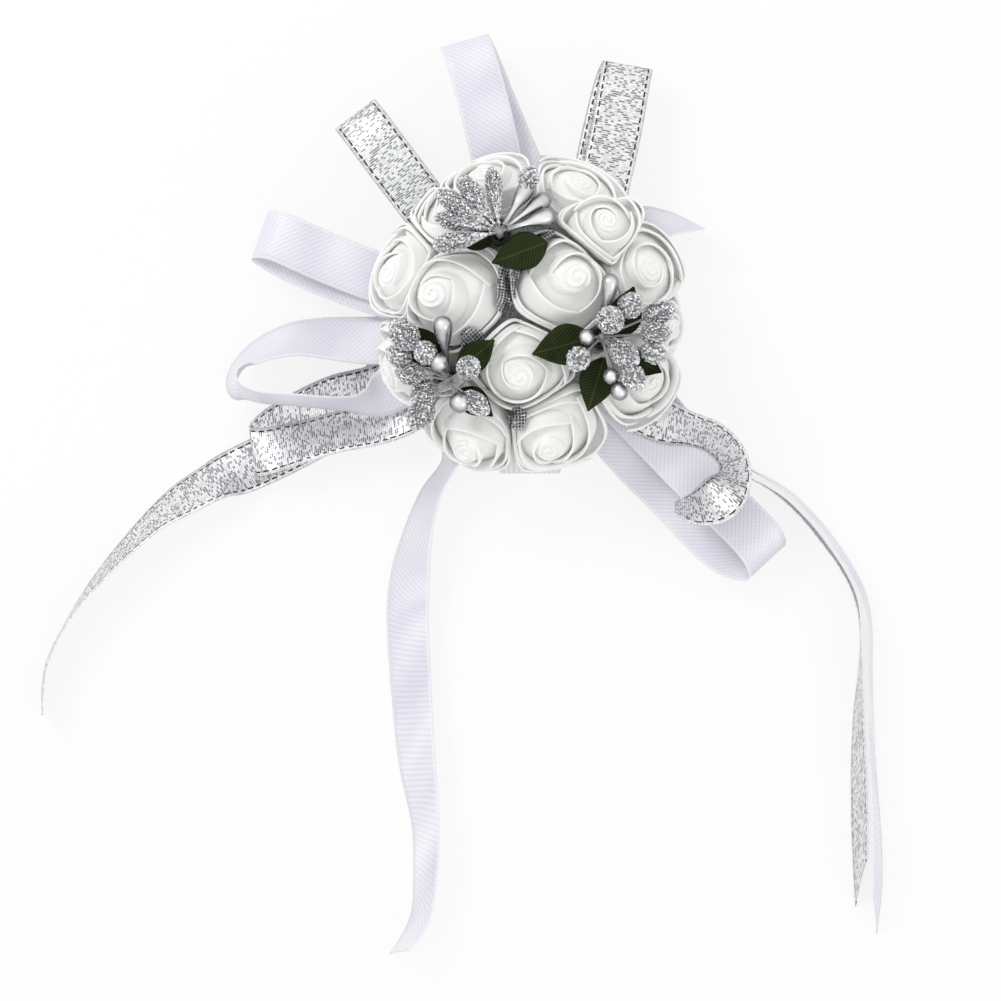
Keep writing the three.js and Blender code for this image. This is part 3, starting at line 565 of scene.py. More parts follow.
# Each tail: name, body, direction of its root in degrees, layer, slant of the end, and stations
TAILS = [
    ("silver_tail_left", "left_tail", 186, 0, 0.0, [
        (-19.4, -3.8, 6.3, 0), (-23.2, -7.4, 3.6, 0), (-31, -15.4, 1.4, 0), (-40, -22, 0.6, 0),
        (-50, -27.4, 0.6, 0), (-57.6, -31, 1.7, 14), (-62.8, -33.2, 3.4, 38), (-68.6, -36.6, 4, 46),
        (-74.6, -40.8, 4.7, 60), (-80, -46, 5, 68), (-87.5, -54.4, 5.2, 78), (-92.4, -61.7, 5.3, 84),
        (-96, -69, 5.3, 84), (-97, -75, 5.3, 84), (-97, -79.6, 5.3, 86)]),
    ("satin_tail_centre", "centre_tail", 228, 0, 0.07, [
        (-12.8, -21, 6.6, 20), (-16, -29.5, 7.2, 70), (-20.2, -37, 5.5, 64), (-22.8, -46, 4.7, 50),
        (-23.9, -52.4, 3.8, 38), (-24.4, -58.8, 3.4, 34), (-23.8, -72.8, 3.5, 36), (-22.6, -88.4, 3.9, 42),
        (-20.8, -101.6, 4.7, 56), (-20.9, -112, 5, 62), (-22, -120.4, 5.2, 68), (-25, -125.4, 5.3, 76),
        (-27.5, -128.2, 5.3, 82)]),
    ("satin_tail_right", "right_tails", 327, 0, 0.06, [
        (19.4, -13.2, 7.6, 10), (24.6, -18.2, 6.2, 26), (33.6, -26, 5.3, 62), (41.8, -29.8, 5.3, 88),
        (50.8, -35, 5.3, 96), (55.8, -39.8, 5.3, 98), (60.3, -45.5, 5.3, 100), (64.1, -51.2, 5.3, 100),
        (66.4, -56.4, 5.3, 100), (67.5, -63, 5.3, 99), (67.6, -71.6, 5.3, 99), (67.8, -80.6, 5.3, 100),
        (68.3, -92.4, 5.3, 101), (69.1, -105, 5.3, 103), (69, -115, 5.3, 104), (68.4, -123.6, 5.3, 100)]),
    ("silver_tail_right", "right_tails", 327, 1, 0.05, [
        (19, -13.6, 8.6, 10), (23.6, -19, 7.4, 26), (32.4, -27.4, 5.6, 62), (41, -31.2, 5.3, 88),
        (49.8, -36.4, 5.3, 94), (54.7, -41, 5.3, 95), (59.1, -46.5, 5.3, 96), (62.7, -52, 5.3, 96),
        (64.8, -57, 5.3, 96), (65.7, -63.4, 5.3, 94), (65.7, -71.6, 5.3, 90), (65.4, -80.6, 5.3, 82),
        (65.4, -92.4, 5.3, 77), (65.6, -105, 5.3, 76), (65.8, -118.2, 5.3, 82)]),
]
LOOKS = {"satin": (SATIN, "white_satin"), "silver": (LAME, "silver_lame")}
for seed, (node, azimuth, stations) in enumerate(LOOPS):
    look = LOOKS[node.split("_")[0]]
    piece, length = ribbon(node + "_ribbon", *look, stations, azimuth, 0.0, seed)
    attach(piece, node)
    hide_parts(node)
for seed, (node, body, azimuth, level, cut, stations) in enumerate(TAILS):
    look = LOOKS[node.split("_")[0]]
    out = Vector((math.cos(math.radians(azimuth)), math.sin(math.radians(azimuth)), 0))
    start = [(*(out * r).xy, layer(level), 0) for r in (ROOT_RADIUS - ROOT_DEPTH, TAIL_START)]
    piece, length = ribbon(node + "_ribbon", *look, start + stations, None, cut, seed + TAIL_SEED)
    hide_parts(node)
    rise = Vector((0, 0, layer(level)))
    blend_end = out * (ROOT_RADIUS + TAIL_BLEND) + rise
    (out * ROOT_RADIUS + rise) * MM
    blend_end * MM
    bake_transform(piece)

# Foam roses, which share the room on the dome with each other, the stalks and the ribbons
ROSE_RADIUS = 9.2
ROSE_HEIGHT = 14.0
ROSE_MIDDLE = 0.55
FOAM_SHEET = 0.52
ROSE_PETALS = 7
SKIRT_PETALS = 3
CREASE = 3.6
SKIRT_REACH = {"rose_09": 0.75, "rose_10": 0.75}
USUAL_REACH = 1.12
FLOWER_GAP = 0.1
SLEEVE_GAP = 1.3
RIBBON_GAP = 0.9
NEAR = 1.5
FREE_ROOM = 0.72
SOFT_FLOOR = 2
SEAT_TRIES = 40
BUD_TURNS = 2.1
BUD_RIM = 0.31
OUTER_RIM = 0.65
HEART = 0.96
DOME_BASE = 16.7
DOME_ACROSS = 22.1
DOME_UP = 8.6
RIBBON_TOP = 13.2
SLEEVE_RADIUS = 2.1
STALKS = {"top": (-6, 14.6), "left": (-16, -13.8), "right": (13.6, -5.6)}
# Each rose: name, plan place of its middle, size, extra stem, turn in degrees, openness, lean of the bud
ROSES = [
    ("rose_01", -9.3, 25.7, 1, 0, 10, 0.9, (1.5, -3.5)), ("rose_02", 10.7, 25.2, 1, 0, 40, 1.0, (-3.2, -4.6)),
    ("rose_03", 15.4, 16.6, 0.85, 4, 80, 0.3, (-2.4, -1.2)),
    ("rose_04", 23.4, 8.4, 1, 0, 120, 1.1, (-3.6, -2)), ("rose_05", 5.6, 4.5, 1.05, 0, 20, 0.5, (2.8, 1.2)),
    ("rose_06", -14.5, 2.9, 1.05, 0, 65, 0.6, (-3.4, -0.4)),
    ("rose_07", -25.8, 8.4, 1, 0, 100, 0.8, (2.2, -3)), ("rose_08", -1.7, -11.1, 1, 0, 0, 0.7, (-0.4, -1)),
    ("rose_09", -12.6, -23.9, 1, 0, 30, 1.0, (2, -0.4)), ("rose_10", 5.1, -24.1, 1, 0, 75, 1.0, (-2.4, 0)),
    ("rose_11", 22, -13.1, 1, 1, 115, 0.8, (-1.6, 0.6)), ("rose_12", -26.4, -11.5, 0.95, 0, 50, 0.8, (3, 1)),
    ("rose_13", -16.8, 18.6, 0.85, 1, 95, 0.7, (2.8, -0.5)),
    ("rose_14", 26.6, -3, 0.8, 0, 25, 0.7, (-2.5, 0)),
]


def seat_on_dome(x, y, lift):
    """The foot and axis of a flower whose middle stands over a plan point."""
    reach = math.hypot(x, y)
    low, high = 0.0, math.pi / 2
    for _ in range(SEAT_TRIES):
        middle = (low + high) / 2
        tilt = math.atan2(math.sin(middle) / DOME_ACROSS, math.cos(middle) / DOME_UP)
        if DOME_ACROSS * math.sin(middle) + lift * math.sin(tilt) < reach:
            low = middle
        else:
            high = middle
    tilt = math.atan2(math.sin(low) / DOME_ACROSS, math.cos(low) / DOME_UP)
    out = Vector((x / reach, y / reach, 0))
    foot = out * DOME_ACROSS * math.sin(low) + Vector((0, 0, DOME_BASE + DOME_UP * math.cos(low)))
    return foot, out * math.sin(tilt) + Vector((0, 0, math.cos(tilt)))


flowers = []
for name, x, y, size, stem, turn, openness, bud_lean in ROSES:
    lift = ROSE_HEIGHT * ROSE_MIDDLE * size + stem
    foot, axis = seat_on_dome(x, y, lift)
    flowers.append({"name": name, "size": size, "turn": math.radians(turn), "open": openness, "axis": axis,
                    "lean": Vector((*bud_lean, 0)), "base": foot + axis * stem,
                    "middle": foot + axis * lift, "radius": ROSE_RADIUS * size})


def neighbours(flower):
    """Directions to the other flowers, with the room that is left on each side."""
    walls = []
    for other in flowers:
        if other is not flower:
            away = other["middle"] - flower["middle"]
            span = away.length
            room = (span ** 2 + flower["radius"] ** 2 - other["radius"] ** 2) / (2 * span)
            if room < NEAR * flower["radius"]:
                walls.append((away / span, room - FLOWER_GAP - 0.5 * FOAM_SHEET))
    outward = Vector((*flower["middle"].xy, 0)).normalized()
    walls.append((outward, SKIRT_REACH.get(flower["name"], USUAL_REACH) * flower["radius"]))
    return walls


def squeeze(point, flower, walls):
    """Presses a point of a flower softly inside its own room."""
    for away, room in walls:
        reach = (point - flower["middle"]).dot(away)
        free = FREE_ROOM * room
        if reach > free:
            left = room - free
            point = point + away * (free + left * (1 - math.exp((free - reach) / left)) - reach)
    for x, y in STALKS.values():
        gap = Vector((point.x - x, point.y - y, 0))
        if gap.length < SLEEVE_RADIUS + SLEEVE_GAP:
            point = point + gap.normalized() * (SLEEVE_RADIUS + SLEEVE_GAP - gap.length)
    floor = RIBBON_TOP + RIBBON_GAP
    if point.z < floor + SOFT_FLOOR:
        point.z = floor + SOFT_FLOOR * math.exp((point.z - floor - SOFT_FLOOR) / SOFT_FLOOR)
    return point


def petal(bm, fold, across, up, shape, depth):
    """A curved foam petal: shape gives the place for a share across (-1 to 1) and a share up (0 to 1)."""
    made = bmesh.ops.create_grid(bm, x_segments=across, y_segments=up, size=1)["verts"]
    for vert in made:
        side, rise = vert.co.x, (vert.co.y + 1) / 2
        # Painted crease shade: darkest at the petal's foot, none at its tip
        vert[fold] = depth * (1 - rise) ** 0.7
        vert.co = shape(side, rise)


def rose_top(share):
    """Height of the petal tips from the bud out to the rim, as a share of the rose."""
    return 0.985 - 0.4 * share ** 1.6


def wrap_petal(radius, height, turn, spread, rim, belly, top, curl, hand):
    """A petal that leans over the petals inside it, with a soft lip."""
    def shape(side, rise):
        outline = 1 - 0.2 * side ** 2 - 0.12 * abs(side) ** 6
        up = rise * outline
        swell = math.sin(math.pi / 2 * min(1, up / 0.5)) ** 0.7
        lean = max(0.0, (up - 0.5) / 0.5)
        lip = max(0.0, (rise - 0.8) / 0.2) ** 2
        r = radius * (0.2 + (belly - 0.2) * swell - (belly - rim) * lean ** 1.25 + 0.07 * curl * lip)
        r += hand * 0.7 * side + 0.5 * curl * max(0.0, hand * side - 0.6)
        z = height * (top * up - 0.03 * curl * lip)
        angle = turn + spread * side * (0.66 + 0.34 * rise)
        return Vector((r * math.cos(angle), r * math.sin(angle), z))
    return shape


def rolled_bud(radius, height, turn, hand):
    """The rolled middle of a rose."""
    def shape(side, rise):
        wind = (side + 1) / 2
        r = 0.3 + (0.3 * radius - 0.3) * wind ** 0.85
        angle = turn + hand * wind * BUD_TURNS * 2 * math.pi
        z = height * (0.42 + rise * (0.58 - 0.05 * wind))
        return Vector((r * math.cos(angle), r * math.sin(angle), z))
    return shape


rose_trees = []
for flower in flowers:
    dice = random.Random(flower["name"])
    radius, height = flower["radius"], ROSE_HEIGHT * flower["size"]
    hand = dice.choice((-1, 1))
    bm = bmesh.new()
    # This layer holds painted crease shade; the last number given to each petal sets how dark its foot is
    # painted
    fold = bm.verts.layers.float.new("fold_depth")
    turn = dice.uniform(0, 6.28)
    petal(bm, fold, 36, 6, rolled_bud(radius, height, turn, hand), 0.6)
    heart = bmesh.ops.create_uvsphere(bm, u_segments=28, v_segments=20, radius=1)["verts"]
    for vert in heart:
        wide = vert.co.xy.length
        tips = height * rose_top(max(0.0, (HEART * wide - BUD_RIM) / OUTER_RIM))
        crown = tips - CREASE * min(1.0, max(0.22, wide * 4 - 0.9))
        rise = crown * (0.55 + 0.45 * min(1, vert.co.z * 4))
        # The heart is painted in crease shade all over
        vert[fold] = 0.4
        vert.co = Vector((vert.co.x * HEART * radius, vert.co.y * HEART * radius, rise))
    for number in range(ROSE_PETALS):
        share = number / (ROSE_PETALS - 1)
        turn += hand * (2.2 + dice.uniform(-0.25, 0.25))
        rim = BUD_RIM + OUTER_RIM * share ** 0.95 + dice.uniform(-0.015, 0.015)
        belly = rim + 0.16 + 0.04 * share
        curl = (0.15 + share) * (0.3 + flower["open"]) * dice.uniform(0.4, 1.4)
        top = rose_top(share) * dice.uniform(0.985, 1.02)
        spread = (1.6 - 0.45 * share) * dice.uniform(0.92, 1.08)
        shape = wrap_petal(radius, height, turn, spread, rim, belly, top, curl, hand)
        petal(bm, fold, 14, 10, shape, 0.5 - 0.2 * share)
    for number in range(SKIRT_PETALS):
        turn += hand * 2 * math.pi / SKIRT_PETALS
        top = 0.5 * dice.uniform(0.92, 1.08)
        aside = turn + dice.uniform(-0.2, 0.2)
        shape = wrap_petal(radius, height, aside, 1.3, 1.16, 1.3, top, 0.6 * flower["open"], hand)
        petal(bm, fold, 12, 9, shape, 0.3)
    place = upright(flower["base"], flower["axis"]) @ Matrix.Rotation(flower["turn"], 4, "Z")
    bmesh.ops.transform(bm, matrix=place, verts=bm.verts)
    walls = neighbours(flower)
    for vert in bm.verts:
        up = min(1.0, max(0.0, (vert.co - flower["base"]).dot(flower["axis"]) / height))
        vert.co = squeeze(vert.co + flower["lean"] * up ** 1.5, flower, walls)
    rose_trees.append(BVHTree.FromBMesh(bm))
    piece = finished(flower["name"] + "_petals", bm, FOAM, "foam")
    thicken(piece, FOAM_SHEET, 1)
    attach(piece, "posy")
    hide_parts(flower["name"])


def flower_height(x, y):
    """Height of the flowers over a plan point, in millimetres."""
    top = DOME_BASE
    for tree in rose_trees:
        hit = tree.ray_cast(Vector((x, y, ABOVE_ALL)), DOWN)[0]
        if hit:
            top = max(top, hit.z)
    return top


def clear_height(x, y, reach):
    """Height of the flowers under a round patch, in millimetres."""
    around = ((0, 0), (1, 0), (-1, 0), (0, 1), (0, -1))
    return max(flower_height(x + reach * dx, y + reach * dy) for dx, dy in around)


# Leaves, laid on the tops of their frame solids
LEAF_LENGTH = 14.0
LEAF_WIDTH = 9.2
LEAF_THICKNESS = 0.22
LEAF_SINK = 0.2
LEAF_LEVEL = 36
# Each leaf: name, plan place of its base, heading in degrees, share of the full size
LEAVES = [
    ("leaf_top", 3.2, 12.6, 200, 0.82), ("leaf_top_lower", -7.6, 12.4, 156, 0.6),
    ("leaf_right_inner", 12, -5.6, 196, 0.88), ("leaf_right_lower", 14.2, -9.4, 253, 0.78),
    ("leaf_right_upper", 16.6, -5.8, 72, 0.75), ("leaf_right_outer", 18.2, -9.2, 336, 0.55),
    ("leaf_left_upper", -17.6, -11, 132, 0.75), ("leaf_left_inner", -14, -12, 40, 0.65),
    ("leaf_left_lower", -14, -15.6, 322, 0.6),
]


def leaf_spot(grid, size):
    """Distances along and across a leaf for a point of its grid, in millimetres."""
    along = grid.x + 0.5
    half = max(0.05, math.sin(math.pi * along ** 0.8))
    return along * LEAF_LENGTH * size, grid.y * LEAF_WIDTH * size * half


def solid_tree(node):
    """A frame solid to cast rays at, in millimetres."""
    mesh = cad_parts[node].data
    return BVHTree.FromPolygons([v.co / MM for v in mesh.vertices], [p.vertices[:] for p in mesh.polygons])


for node, x, y, heading, size in LEAVES:
    tree = solid_tree(node)
    turn = Matrix.Rotation(math.radians(heading), 3, "Z")
    bm = bmesh.new()
    bmesh.ops.create_grid(bm, x_segments=28, y_segments=12, size=0.5)
    map_cloth(bm, lambda vert: leaf_spot(vert.co, size))
    for vert in bm.verts:
        spot = turn @ Vector((*leaf_spot(vert.co, size), 0)) + Vector((x, y, 0))
        hit = tree.ray_cast(spot + Vector((0, 0, ABOVE_ALL)), DOWN)[0]
        if hit is None:
            hit = tree.find_nearest(spot + Vector((0, 0, LEAF_LEVEL)))[0]
        crimp = 0.18 * noise.noise(spot * 0.5) + 0.25 * abs(vert.co.y) ** 2
        vert.co = Vector((spot.x, spot.y, hit.z - LEAF_SINK + crimp))
    piece = finished(node + "_satin", bm, LEAF, "leaf_satin")
    thicken(piece, LEAF_THICKNESS, 1)
    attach(piece, "posy")
    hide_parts(node)

# Sprays of stamens. Each: stalk top, buds by plan place, length and width, pearls by plan place, width, tail
SPRAYS = {
    "top": (39.8, [
        (-11, 21.8, 9.6, 4.4), (-7.2, 23.6, 8.6, 3.8), (-0.4, 25.3, 5, 4.2), (-14, 19.8, 10.4, 4.4),
        (-14.4, 16.6, 9, 4.2), (-13.4, 13, 11.6, 4.6)],
        [(-1.2, 22.7, 3.5, 3.2), (2.2, 20.9, 3.5, 3.2), (2.9, 17.6, 3.6, 3)]),
    "left": (35.6, [
        (-24.5, -5.2, 7.4, 5.6), (-25.5, -9.2, 5.4, 4.6), (-23.4, -12.6, 6, 4.6), (-20.8, -16.2, 6, 5.4),
        (-21.4, -20.6, 6.8, 5.2), (-20.4, -8.6, 5.4, 4.6), (-12, -11.6, 5.8, 4.6), (-10.6, -18.4, 7, 4.2)],
        [(-17.7, -10.6, 4, 1), (-13.7, -18.2, 4.2, 1), (-17, -3.5, 3.8, 2.8)]),
    "right": (38.7, [
        (15.2, -2.4, 5.8, 5.6), (19.1, 0.4, 5.6, 5), (24.9, -0.8, 7.2, 4.6), (24, -5, 6.2, 4.6),
        (23.6, -8.8, 5.6, 4.2), (18, -9, 7, 5), (19.6, -13.5, 5.4, 4.8), (9, -10, 5.4, 4.8)],
        [(10.6, -5.8, 3.2, 1), (15.4, -13.2, 3.2, 1), (17, -16.2, 3.4, 1.2), (15.2, 4.8, 3.4, 4.2)]),
}
HEAD_GAP = 0.4
TEAR_LIFT = 1.0
SPRAY_TWIST = math.radians(6)
STEM_BOW = {"top": -0.12, "left": 0.08, "right": 0.08}
STEM_RADIUS = 0.25
TUBE_SIDES = 8
STALK_FOOT = 22.0
KNOB_DEPTH = 1.2
LONG_BUD = 8
LONG_BUD_START = 1.6
TEAR_TAIL = 2
TEAR_STRETCH = 1.7
FOOT_SHARE = 0.45
FINE_GRANULE = 0.5
COARSE_GRANULE = 0.8
COARSE_BELOW = 5.7
GRAIN_SHARE = 3.7
GOLDEN_ANGLE = 2.399963


def head_height(tree, stalk, x, y, width):
    """Height of a head's middle: as in the frame, or higher where the petals would touch it as it swings."""
    top = tree.ray_cast(Vector((x, y, ABOVE_ALL)), DOWN)[0]
    swing = SPRAY_TWIST * math.dist(stalk, (x, y))
    clear = clear_height(x, y, width / 2 + swing) + width / 2 + HEAD_GAP
    return max(clear, top.z - width / 2) if top else clear


def bud_width(share, long):
    """Half width of a bud at a share of its length from the stem end."""
    if long:
        return 0.44 * math.sin(math.pi * share ** 1.9) ** 0.5
    return 0.5 * math.sin(math.pi * share ** 0.9) ** 0.55


def tube(bm, points, radius):
    """A round stem along the points, made by extruding a ring."""
    ring = bmesh.ops.create_circle(bm, cap_ends=True, segments=TUBE_SIDES, radius=radius)["verts"]
    bmesh.ops.transform(bm, matrix=upright(points[0], points[1] - points[0]), verts=ring)
    face = ring[0].link_faces[0]
    face.normal_update()
    for before, after in zip(points, points[1:]):
        grown = bmesh.ops.extrude_face_region(bm, geom=[face])["geom"]
        verts = [g for g in grown if isinstance(g, bmesh.types.BMVert)]
        bmesh.ops.translate(bm, vec=after - before, verts=verts)
        old = face
        face = next(g for g in grown if isinstance(g, bmesh.types.BMFace))
        bmesh.ops.delete(bm, geom=[old], context="FACES_ONLY")


def bowed_stem(bm, knob, foot, bow):
    """A bowed stem from the knob of a spray to the foot of a head."""
    way = foot - knob
    sag = Vector((0, 0, bow * way.length))
    shares = (0, 0.25, 0.5, 0.75, 1)
    tube(bm, [knob + way * t + sag * math.sin(math.pi * t) for t in shares], STEM_RADIUS)


def gather(whole, part):
    """Adds one shape to another."""
    mesh = bpy.data.meshes.new("part")
    part.to_mesh(mesh)
    part.free()
    whole.from_mesh(mesh)
    bpy.data.meshes.remove(mesh)


for key, (knob_height, buds, pearls) in SPRAYS.items():
    dice = random.Random(key)
    body = "stamens_" + key
    tree = solid_tree(body)
    knob = Vector((*STALKS[key], knob_height - KNOB_DEPTH))
    crust, cores, drops, stems = (bmesh.new() for _ in range(4))
    # Layer for the pearls' painted reflection
    polish = drops.verts.layers.float.new("polish")
    for x, y, length, width in buds:
        place = Vector((x, y, head_height(tree, STALKS[key], x, y, width)))
        heading = (place - knob).normalized()
        long = length > LONG_BUD
        if long:
            length = (place - knob).length + length / 2 - LONG_BUD_START
            place = knob + heading * (LONG_BUD_START + length / 2)
        stand = upright(place, heading)
        made = bmesh.ops.create_uvsphere(cores, u_segments=14, v_segments=10, radius=1)["verts"]
        for vert in made:
            share = min(max((vert.co.z + 1) / 2, 0), 1)
            flat = vert.co.xy.length
            grow = (width - 0.6) * bud_width(share, long) / flat if flat > 1e-4 else 0
            vert.co = stand @ Vector((vert.co.x * grow, vert.co.y * grow, (share - 0.5) * (length - 0.5)))
        granule = COARSE_GRANULE if length < COARSE_BELOW else FINE_GRANULE
        grains = bmesh.new()
        count = int(GRAIN_SHARE * length * width / granule ** 2)
        for i in range(count):
            share = (i + 0.5) / count
            angle = i * GOLDEN_ANGLE + dice.uniform(-0.25, 0.25)
            r = width * bud_width(share, long) - 0.4 * granule + dice.uniform(-0.08, 0.1)
            spot = stand @ Vector((r * math.cos(angle), r * math.sin(angle), (share - 0.5) * (length - 0.4)))
            spin = dice.uniform(0, 6.28)
            turn = Matrix.Rotation(spin, 4, Vector((dice.uniform(-1, 1), dice.uniform(-1, 1), 0.3)))
            size = granule * dice.uniform(0.42, 0.6)
            put = Matrix.Translation(spot) @ turn
            bmesh.ops.create_icosphere(grains, subdivisions=1, radius=size, matrix=put)
        gather(crust, grains)
        bowed_stem(stems, knob, place - heading * length * FOOT_SHARE, STEM_BOW[key])
    for x, y, width, tail in pearls:
        tear = tail > TEAR_TAIL
        z = head_height(tree, STALKS[key], x, y, width) + (TEAR_LIFT if tear else 0)
        place = Vector((x, y, z))
        heading = (place - knob).normalized()
        stand = upright(place, heading)
        if tear:
            tail = TEAR_STRETCH * (place - knob).length / width
        made = bmesh.ops.create_uvsphere(drops, u_segments=24, v_segments=24, radius=1)["verts"]
        for vert in made:
            below = max(0.0, -vert.co.z)
            facing = (stand.to_3x3() @ vert.co).z
            # Painted reflection: set by how far each face of the pearl looks up
            vert[polish] = 0.5 + 0.5 * facing
            slim = 1.0
            if tear and 0 < below < 0.999:
                pear = 0.65 + 0.35 * math.cos(math.pi * min(1, 1.5 * below))
                slim = pear / math.sqrt(1 - below ** 2)
            drop = vert.co.z if vert.co.z > 0 else vert.co.z * tail
            vert.co = stand @ (Vector((vert.co.x * slim, vert.co.y * slim, drop)) * width / 2)
        bowed_stem(stems, knob, place - heading * width * FOOT_SHARE * tail, STEM_BOW[key])
    made = bmesh.ops.create_cone(stems, cap_ends=True, segments=12, radius1=1.2, radius2=0.5,
                                 depth=knob_height - STALK_FOOT)["verts"]
    bmesh.ops.translate(stems, vec=Vector((*STALKS[key], (knob_height + STALK_FOOT) / 2)), verts=made)
    for part, bm, finish, smooth in (("glitter", crust, GLITTER, False), ("bud_cores", cores, BUD_CORE, True),
                                     ("pearls", drops, PEARL, True), ("stems", stems, THREAD, True)):
        piece = finished(f"{body}_{part}", bm, finish, "stamen_silver", smooth)
        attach(piece, body)
        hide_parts(body)

# Elastic wrist loop: one woven band round a flattened oval
BAND_WIDTH = 12.0
BAND_THICKNESS = 0.62
BAND_STRAIGHT = 57.4
BAND_RADIUS = 2.7
BAND_MIDDLE = 3.1
BAND_RIB = 0.06


def band_place(travel):
    """Place on the middle line of the band for a distance along it."""
    turn = math.pi * BAND_RADIUS
    half = BAND_STRAIGHT / 2
    if travel < BAND_STRAIGHT:
        return Vector((0, travel - half, BAND_MIDDLE + BAND_RADIUS)), Vector((0, 0, 1))
    travel -= BAND_STRAIGHT
    if travel < turn:
        lean = travel / BAND_RADIUS
        out = Vector((0, math.sin(lean), math.cos(lean)))
        return Vector((0, half, BAND_MIDDLE)) + out * BAND_RADIUS, out
    travel -= turn
    if travel < BAND_STRAIGHT:
        return Vector((0, half - travel, BAND_MIDDLE - BAND_RADIUS)), Vector((0, 0, -1))
    lean = (travel - BAND_STRAIGHT) / BAND_RADIUS
    out = Vector((0, -math.sin(lean), -math.cos(lean)))
    return Vector((0, -half, BAND_MIDDLE)) + out * BAND_RADIUS, out


band_length = 2 * BAND_STRAIGHT + 2 * math.pi * BAND_RADIUS
bm = bmesh.new()
bmesh.ops.create_grid(bm, x_segments=48, y_segments=160, size=0.5)
map_cloth(bm, lambda vert: (vert.co.x * BAND_WIDTH, (vert.co.y + 0.5) * band_length))
for vert in bm.verts:
    across = vert.co.x * BAND_WIDTH
    # The last row falls on the first, and is merged with it below
    middle, out = band_place((vert.co.y + 0.5) * band_length * 0.999999)
    rib = BAND_RIB * math.cos(across * 2 * math.pi)
    vert.co = middle + Vector((across, 0, 0)) + out * rib
bmesh.ops.remove_doubles(bm, verts=bm.verts, dist=0.01)
bmesh.ops.recalc_face_normals(bm, faces=bm.faces)
band = finished("elastic_band", bm, ELASTIC, "elastic")
thicken(band, BAND_THICKNESS)
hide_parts("elastic_upper", "elastic_lower", "elastic_bend_top", "elastic_bend_bottom")
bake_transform(band)

# Silver net drawn over the dome, crumpled, with ruffles that rise between the roses
NET_REACH = 21.6
NET_EDGE = 21.62
NET_RISE = 7.95
NET_GAP = 0.1
NET_THICKNESS = 0.15
RUFFLE_THICKNESS = 0.12
RUFFLE_GAP = 1.1
RUFFLE_ROWS = 16
# Each ruffle: plan places along its middle and its width there
NET_RUFFLES = [
    [(4.4, 15.4, 3.4), (1.6, 13.6, 4.4), (-1.6, 10.8, 4.6), (-3.8, 8.2, 4.2), (-4.6, 5, 4), (-5, 1.8, 4.4),
     (-6, -0.6, 3.4)],
    [(-13, -4.2, 3.4), (-11.4, -6, 4.8), (-9.4, -8, 4.2)],
    [(-2.8, -18.8, 2.6), (-2.6, -21, 3.6), (-2.6, -23.4, 3)],
]
bm = bmesh.new()
bmesh.ops.create_grid(bm, x_segments=60, y_segments=60, size=NET_REACH)
for vert in bm.verts:
    reach = vert.co.xy.length
    square = max(abs(vert.co.x), abs(vert.co.y), 1e-6)
    shrink = square / max(reach, 1e-6)
    spot = Vector((vert.co.x * shrink, vert.co.y * shrink, 0))
    rise = math.sqrt(max(0.0, 1 - (spot.length / NET_EDGE) ** 2))
    crumple = 0.25 * noise.noise(spot * 0.45)
    vert.co = Vector((spot.x, spot.y, DOME_BASE + NET_RISE * rise + crumple + NET_GAP))
map_cloth(bm, lambda vert: vert.co.xy)
net = finished("silver_net", bm, PALE_NET, "silver_net")
thicken(net, NET_THICKNESS)
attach(net, "posy")
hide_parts("silver_mesh")
for number, points in enumerate(NET_RUFFLES):
    centres = [Vector((x, y, 0)) for x, y, _ in points]
    broad = [Vector((width, 0, 0)) for _, _, width in points]
    rows = RUFFLE_ROWS * (len(points) - 1)
    bm = bmesh.new()
    bmesh.ops.create_grid(bm, x_segments=12, y_segments=rows, size=0.5)
    ruffle_length = sum((after - before).length for before, after in zip(centres, centres[1:]))
    cut = {}
    for vert in bm.verts:
        share = vert.co.y + 0.5
        middle = curve_point(centres, share)
        ahead = curve_heading(centres, share, 0.01)
        width = curve_point(broad, share, even=True).x
        # The ends are gathered to a third of the width and the sides are ragged
        width *= 0.33 + 0.67 * math.sin(math.pi * share) ** 0.6 + 0.2 * noise.noise(middle * 1.3)
        spot = middle + Vector((-ahead.y, ahead.x, 0)) * vert.co.x * width
        fold = 0.5 * noise.noise(Vector((spot.x * 0.9, spot.y * 0.9, number * 3.1)))
        rest = 0.85 * clear_height(spot.x, spot.y, 1.6) + 0.15 * flower_height(spot.x, spot.y)
        cut[vert] = (vert.co.x * width, share * ruffle_length)
        vert.co = Vector((spot.x, spot.y, rest + RUFFLE_GAP + fold))
    map_cloth(bm, cut.get)
    ruffle = finished(f"silver_net_ruffle_{number + 1}", bm, DARK_NET, "silver_net")
    thicken(ruffle, RUFFLE_THICKNESS, 1)
    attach(ruffle, "posy")

# Frame pieces that keep their own shape
for node, finish in (("glue_core", GLUE), ("backing_disc", FELT), ("stem_sleeve_top", TAPE),
                     ("stem_sleeve_left", TAPE), ("stem_sleeve_right", TAPE)):
    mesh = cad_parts[node].data
    mesh.materials.clear()
    mesh.materials.append(finish)

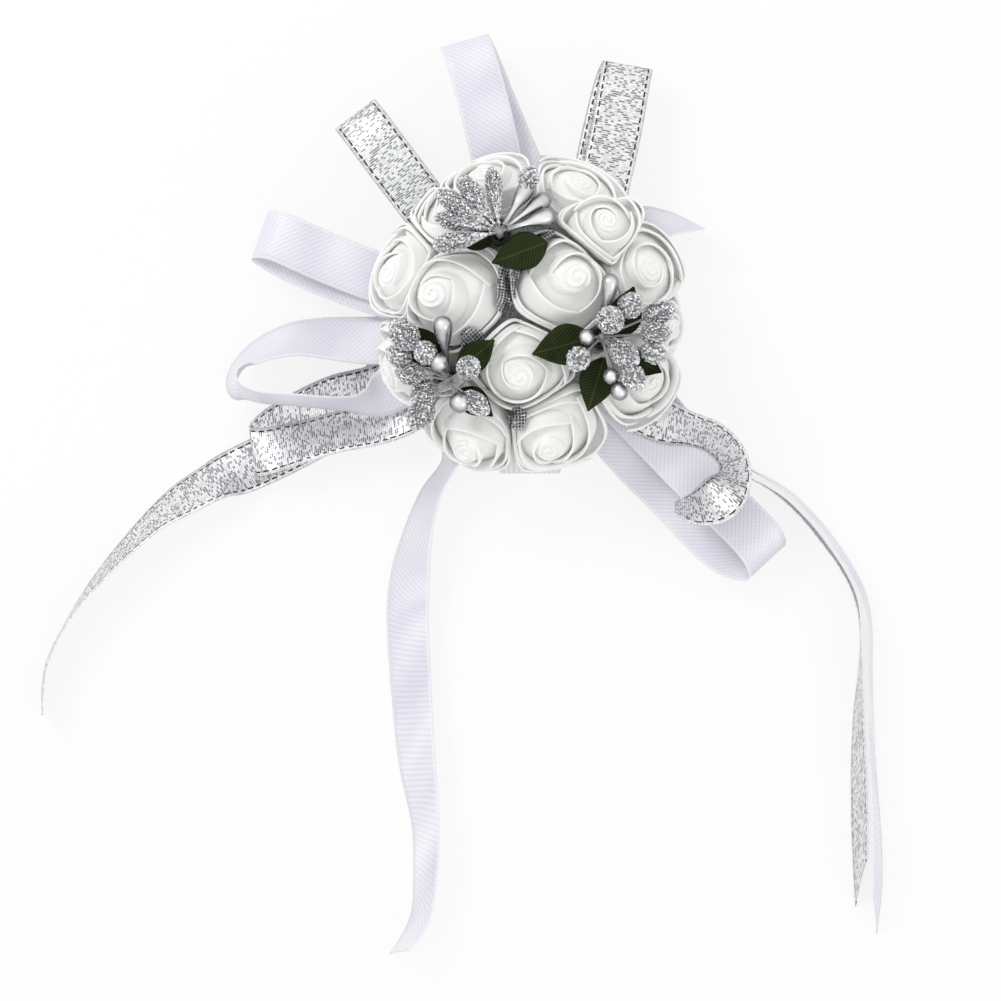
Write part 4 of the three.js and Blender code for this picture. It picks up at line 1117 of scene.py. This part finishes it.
# Table, lamps and surroundings
TABLE_REACH = 900
TABLE_DROP = 0.05
TABLE_GLOW = 0.82
SKY_STRENGTH = 0.88
bm = bmesh.new()
bmesh.ops.create_grid(bm, x_segments=1, y_segments=1, size=TABLE_REACH)
bmesh.ops.translate(bm, vec=Vector((0, 0, -TABLE_DROP)), verts=bm.verts)
bmesh.ops.scale(bm, vec=(MM, MM, MM), verts=bm.verts)
mesh = bpy.data.meshes.new("table")
bm.to_mesh(mesh)
bm.free()
table = bpy.data.objects.new("table", mesh)
scene.collection.objects.link(table)
pale = Finish("pale table", {"Base Color": (0.9, 0.9, 0.9, 1), "Roughness": 0.9})
seen = pale.node("LightPath").camera_rays()
glow = pale.node("Emission", {}, {"Color": (1, 1, 1, 1), "Strength": 1.0})
body_shader = Wire(pale.tree, pale.shader.outputs[0])
both = pale.node("MixShader", {}, {0: seen * TABLE_GLOW, 1: body_shader, 2: glow})
pale.tree.links.new(both.socket, pale.tree.nodes["Material Output"].inputs["Surface"])
mesh.materials.append(pale.material)

world = bpy.data.worlds.new("studio")
scene.world = world
world.use_nodes = True
sky = world.node_tree.nodes["Background"]
sky.inputs["Color"].default_value = (1, 1, 1, 1)
path = world.node_tree.nodes.new("ShaderNodeLightPath")
rays = Wire(world.node_tree, path.outputs[0]).camera_rays()
strength = SKY_STRENGTH + (1 - SKY_STRENGTH) * rays
world.node_tree.links.new(strength.socket, sky.inputs["Strength"])


def lamp(name, place, aim, size, power):
    """A round lamp that shines from its place towards its aim."""
    light = bpy.data.lights.new(name, "AREA")
    light.shape = "DISK"
    light.size = size
    light.energy = power
    body = bpy.data.objects.new(name, light)
    body.location = place
    body.rotation_euler = (Vector(aim) - Vector(place)).to_track_quat("-Z", "Y").to_euler()
    scene.collection.objects.link(body)


lamp("key_lamp", (-0.38, 0.34, 0.62), (0, 0, 0.02), 0.22, 1.35)
lamp("fill_lamp", (0.45, -0.35, 0.55), (0, 0, 0.02), 0.3, 0.4)

scene.view_settings.view_transform = "Standard"
